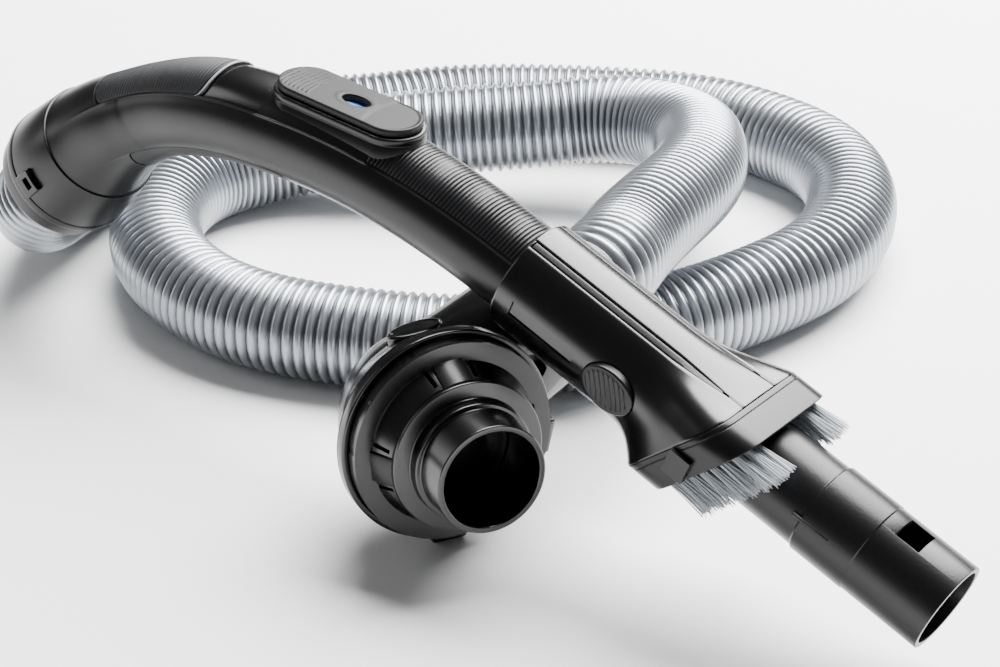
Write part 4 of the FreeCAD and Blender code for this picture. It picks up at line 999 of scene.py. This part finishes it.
def slider_solid():
    """The slider plate: a ring between the oval eye and the round-ended outline."""
    outline = stadium_outline(65, 23.2, 288)
    way = np.arctan2(outline[:, 1] / 0.56, outline[:, 0] - 3)
    eye = np.stack([3 + 6.25 * np.cos(way), 3.5 * np.sin(way)], 1)
    low, high, edge = 20.5, 23.4, 0.9
    sections = list(plug(outline, [(0.3, low), (0, low + 0.3), (0, high - edge)]
                         + [(edge * (1 - math.cos(u)), high - edge + edge * math.sin(u))
                            for u in np.linspace(0.26, np.pi / 2, 6)]))
    rim = sections[-1][:, :2]
    for k in np.linspace(0, 1, 70)[1:-1]:
        xy = rim + (eye + (eye - [3, 0]) * 0.06 - rim) * k
        near_rim = np.clip(np.linalg.norm(xy - rim, axis=1) / 1.2, 0, 1)
        sections.append(np.column_stack([xy, high + slider_height(xy[:, 0], xy[:, 1]) * near_rim]))
    for inset, z in ((0.06, high - 0.05), (0.02, high - 0.2), (0.0, high - 0.5), (0, low)):
        sections.append(np.column_stack([eye + (eye - [3, 0]) * inset, np.full(len(eye), z)]))
    return ring_solid(np.array(sections))


stem = box_solid((-21, -1.5, 16.4), (-17, 1.5, 20.9))
piece("suction_slide_plate", [slider_solid(), stem], POD, GREY_ABS, "suction_control", "suction_slider",
      sharp=50)

# ---------------------------------------------------------------- canister connector
DOME_R, DOME_Z, BACK_Z = 34.5, 20.0, 50.0
dome_c = (BACK_Z ** 2 - DOME_Z ** 2 - DOME_R ** 2) / (2 * (BACK_Z - DOME_Z))


def dome_solid(inset, front):
    """The housing's round part: ball up to z = -20, cone to the shoulder (-12), cone to the brim."""
    ball = BACK_Z - dome_c - inset
    a = np.linspace(0.02, math.acos((DOME_Z - dome_c) / ball), 48)
    arc = np.stack([ball * np.sin(a), -dome_c - ball * np.cos(a)], 1)
    cone = [(38.0 - inset, -12.0), (42.1 - inset, -5.0)]
    if front > -5:
        cone.append((42.1 - inset, front))
    return lathe(np.vstack([arc, np.array(cone)]), 144)


def neck_solid(inset, start):
    """The housing's neck: a cone that leaves the dome for the hose."""
    t = np.linspace(0, 60, 24)
    r = 28.0 - inset - 2.5 * t / 60
    a = np.linspace(0.03, np.pi / 2, 20)
    ball = np.stack([(28.0 - inset) * np.sin(a), -(28.0 - inset) * np.cos(a)], 1)[:-1]
    tail = np.array([(r[-1], 60.0 + start)])
    return lathe(np.vstack([ball, np.stack([r, t], 1), tail]), 144)


press_frames = {}
for name, turn in (("top", 96.0), ("bottom", -84.0)):
    a = math.radians(turn)
    out, aside = np.array([math.cos(a), math.sin(a), 0]), np.array([-math.sin(a), math.cos(a), 0])
    press_frames[name] = within(MOUTH, (0, 0, -18.0), np.stack([aside, np.cross(out, aside), out], 1))


housing = piece("connector_housing_finished", [dome_solid(0, -5)], MOUTH, GLOSS_ABS)
mouth_clear = piece("mouth_clear", [lathe([(39.2, -5.0), (60, -5.0), (60, 45), (39.2, 45)], 96)],
                    MOUTH, GLOSS_ABS)
neck_out = piece("neck_outer", [neck_solid(0, 0)], NECK, GLOSS_ABS)
combine(neck_out, mouth_clear, "DIFFERENCE")
combine(housing, neck_out, "UNION")
combine(housing, piece("dome_inside", [dome_solid(2.5, 6)], MOUTH, GLOSS_ABS), "DIFFERENCE")
combine(housing, piece("neck_inside", [neck_solid(2.5, 6)], NECK, GLOSS_ABS), "DIFFERENCE")
for name, place in press_frames.items():
    combine(housing, oval_cutter("press_hole", 22.8, 11.8, 26, 46, place), "DIFFERENCE")
smooth(housing.data, 30)
soften(housing, 0.3)
stand_for(housing, "connector_housing", "hose_assembly")
for name, place in press_frames.items():
    piece(f"connector_release_{name}",
          [dished_oval(22, 11, 31.6, 37.9, lambda x, y: 0.1 - 0.9 * (x / 11) ** 2 - 0.35 * (y / 5.5) ** 2,
                       30, 112, 1.3)],
          place, GLOSS_ABS, f"connector_press_{name}", f"connector_button_{name}")

lug_parts = []
for turn in (-90, -15):
    a = math.radians(turn)
    out, aside = np.array([math.cos(a), math.sin(a), 0]), np.array([-math.sin(a), math.cos(a), 0])
    sections = []
    for z, inner_r, outer_r, half in ((-12, 37, 43.6, 5.8), (-11.4, 37, 44.8, 6.6),
                                      (-10.5, 38, 45.2, 7), (-2, 40.6, 45.2, 7),
                                      (-1.3, 40.8, 45.0, 6.8), (-1, 40.8, 44.4, 6.2)):
        loop = rounded([(inner_r, -half), (outer_r, -half), (outer_r, half), (inner_r, half)], 1.2, 5)
        sections.append(loop[:, :1] * out + loop[:, 1:] * aside + [0, 0, z])
    lug_parts.append(bar_solid(np.array(sections)))
piece("mouth_rim", [turned([(39.6, -5.0), (42.1, -5.0), (42.1, 0), (39.6, 0)], 0.7, 192)] + lug_parts,
      MOUTH, GLOSS_ABS, "hose_assembly", "connector_mouth_ring", sharp=50)
piece("neck_end_cuff", [turned([(18.4, 44), (23.67, 44), (23.0, 59.9), (24.7, 60.1), (23.9, 62),
                                (21.05, 62), (21.05, 46), (18.4, 46)], 0.35)],
      NECK, SATIN_ABS, "hose_assembly", "neck_cuff")

piece("inlet_spigot", [turned([(19.4, -2.4), (21.3, -2.4), (21.3, 16), (29.7, 16), (29.7, 19), (23.3, 19),
                               (23.3, 24), (21.3, 24), (21.3, 39), (18.9, 39), (18.9, 11), (19.4, 11)],
                              0.55, 192)],
      MOUTH, GLOSS_ABS, "swivel_spigot", "spigot", sharp=50)
# the cage: a thin cone, widest at its rear, with four spring fingers between pairs of slits
CAGE_WIDE, CAGE_NARROW, CAGE_WALL = 37.5, 28.5, 1.8
CAGE_BACK, CAGE_FRONT = -5.4, 15.9
FINGER_TURNS = (3, 93, 183, 273)
FINGER_HALF = 5.95
SLIT_TURN = 15.5
cage = piece("latch_cage_finished",
             [turned([(CAGE_WIDE, CAGE_BACK), (CAGE_NARROW, CAGE_FRONT),
                      (CAGE_NARROW - CAGE_WALL, CAGE_FRONT),
                      (34.9, -3.6), (24.0, -3.6), (24.0, CAGE_BACK)], 0.3, 192)], MOUTH, GLOSS_ABS)
holes = []
for turn in FINGER_TURNS:
    flat = frame_at((0, 0, 0), turn_z(turn))
    holes.append(moved(box_solid((23.7, -FINGER_HALF - 0.15, -1.1), (42, FINGER_HALF + 0.15, 17)), flat))
    for aside in (-SLIT_TURN, SLIT_TURN):
        tilted = frame_at((0, 0, 0), turn_z(turn + aside))
        holes.append(moved(box_solid((27.2, -0.8, 1.5), (42, 0.8, 13.5)), tilted))
combine(cage, piece("cage_holes", holes, MOUTH, GLOSS_ABS), "DIFFERENCE")
smooth(cage.data, 30)
soften(cage, 0.2)
stand_for(cage, "latch_cage", frame["nodes"]["latch_cage"]["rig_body"])
fingers = []
for turn in FINGER_TURNS:
    flat = frame_at((0, 0, 0), turn_z(turn))
    side_view = rounded([(33.8, -0.9), (36.8, -0.9), (36.2, 0.5), (CAGE_NARROW, CAGE_FRONT),
                         (CAGE_NARROW - CAGE_WALL, CAGE_FRONT)], 0.4, 5)
    across = [np.column_stack([side_view[:, 0] - f, np.full(len(side_view), y), side_view[:, 1]])
              for y, f in ((-FINGER_HALF, 0.25), (0.25 - FINGER_HALF, 0),
                           (FINGER_HALF - 0.25, 0), (FINGER_HALF, 0.25))]
    fingers.append(moved(bar_solid(np.array(across)), flat))
piece("latch_fingers_finished", fingers, MOUTH, SATIN_ABS, frame["nodes"]["latch_fingers"]["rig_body"],
      "latch_fingers", sharp=50)

# ---------------------------------------------------------------- small and hidden pieces
from_cad("socket_snap_clip", SATIN_ABS, 0.35)
from_cad("collar_clip_near", DARK_PP, 0.35)
from_cad("collar_clip_far", DARK_PP, 0.35)
for node in ("handle_duct", "bleed_valve_plate", "elbow_duct", "retaining_ring"):
    plain(node, DARK_PP)
plain("spigot_seal", NITRILE)

# ---------------------------------------------------------------- floor and light
floor_mesh = bpy.data.meshes.new("floor")
floor_mesh.from_pydata([(-6, -6, 0), (6, -6, 0), (6, 6, 0), (-6, 6, 0)], [], [(0, 1, 2, 3)])
floor = bpy.data.objects.new("floor", floor_mesh)
bpy.context.scene.collection.objects.link(floor)
floor_mesh.materials.append(FLOOR)
floor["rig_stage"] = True

world = bpy.data.worlds.new("studio")
world.use_nodes = True
world.node_tree.nodes["Background"].inputs["Color"].default_value = (1.0, 1.0, 1.0, 1.0)
world.node_tree.nodes["Background"].inputs["Strength"].default_value = 0.12
bpy.context.scene.world = world


def soft_light(name, place, size_x, size_y, watts):
    """A soft box that faces the object."""
    data = bpy.data.lights.new(name, "AREA")
    data.shape, data.size, data.size_y, data.energy = "RECTANGLE", size_x, size_y, watts
    lamp = bpy.data.objects.new(name, data)
    bpy.context.scene.collection.objects.link(lamp)
    lamp.location = place
    lamp.rotation_mode = "QUATERNION"
    lamp.rotation_quaternion = (Vector((0, 0.05, 0.05)) - Vector(place)).to_track_quat("-Z", "Y")
    lamp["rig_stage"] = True


soft_light("back_box", (-0.1, 1.0, 1.4), 1.7, 1.6, 240)
soft_light("left_box", (-1.5, -0.7, 0.8), 0.5, 1.2, 6)

low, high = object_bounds()
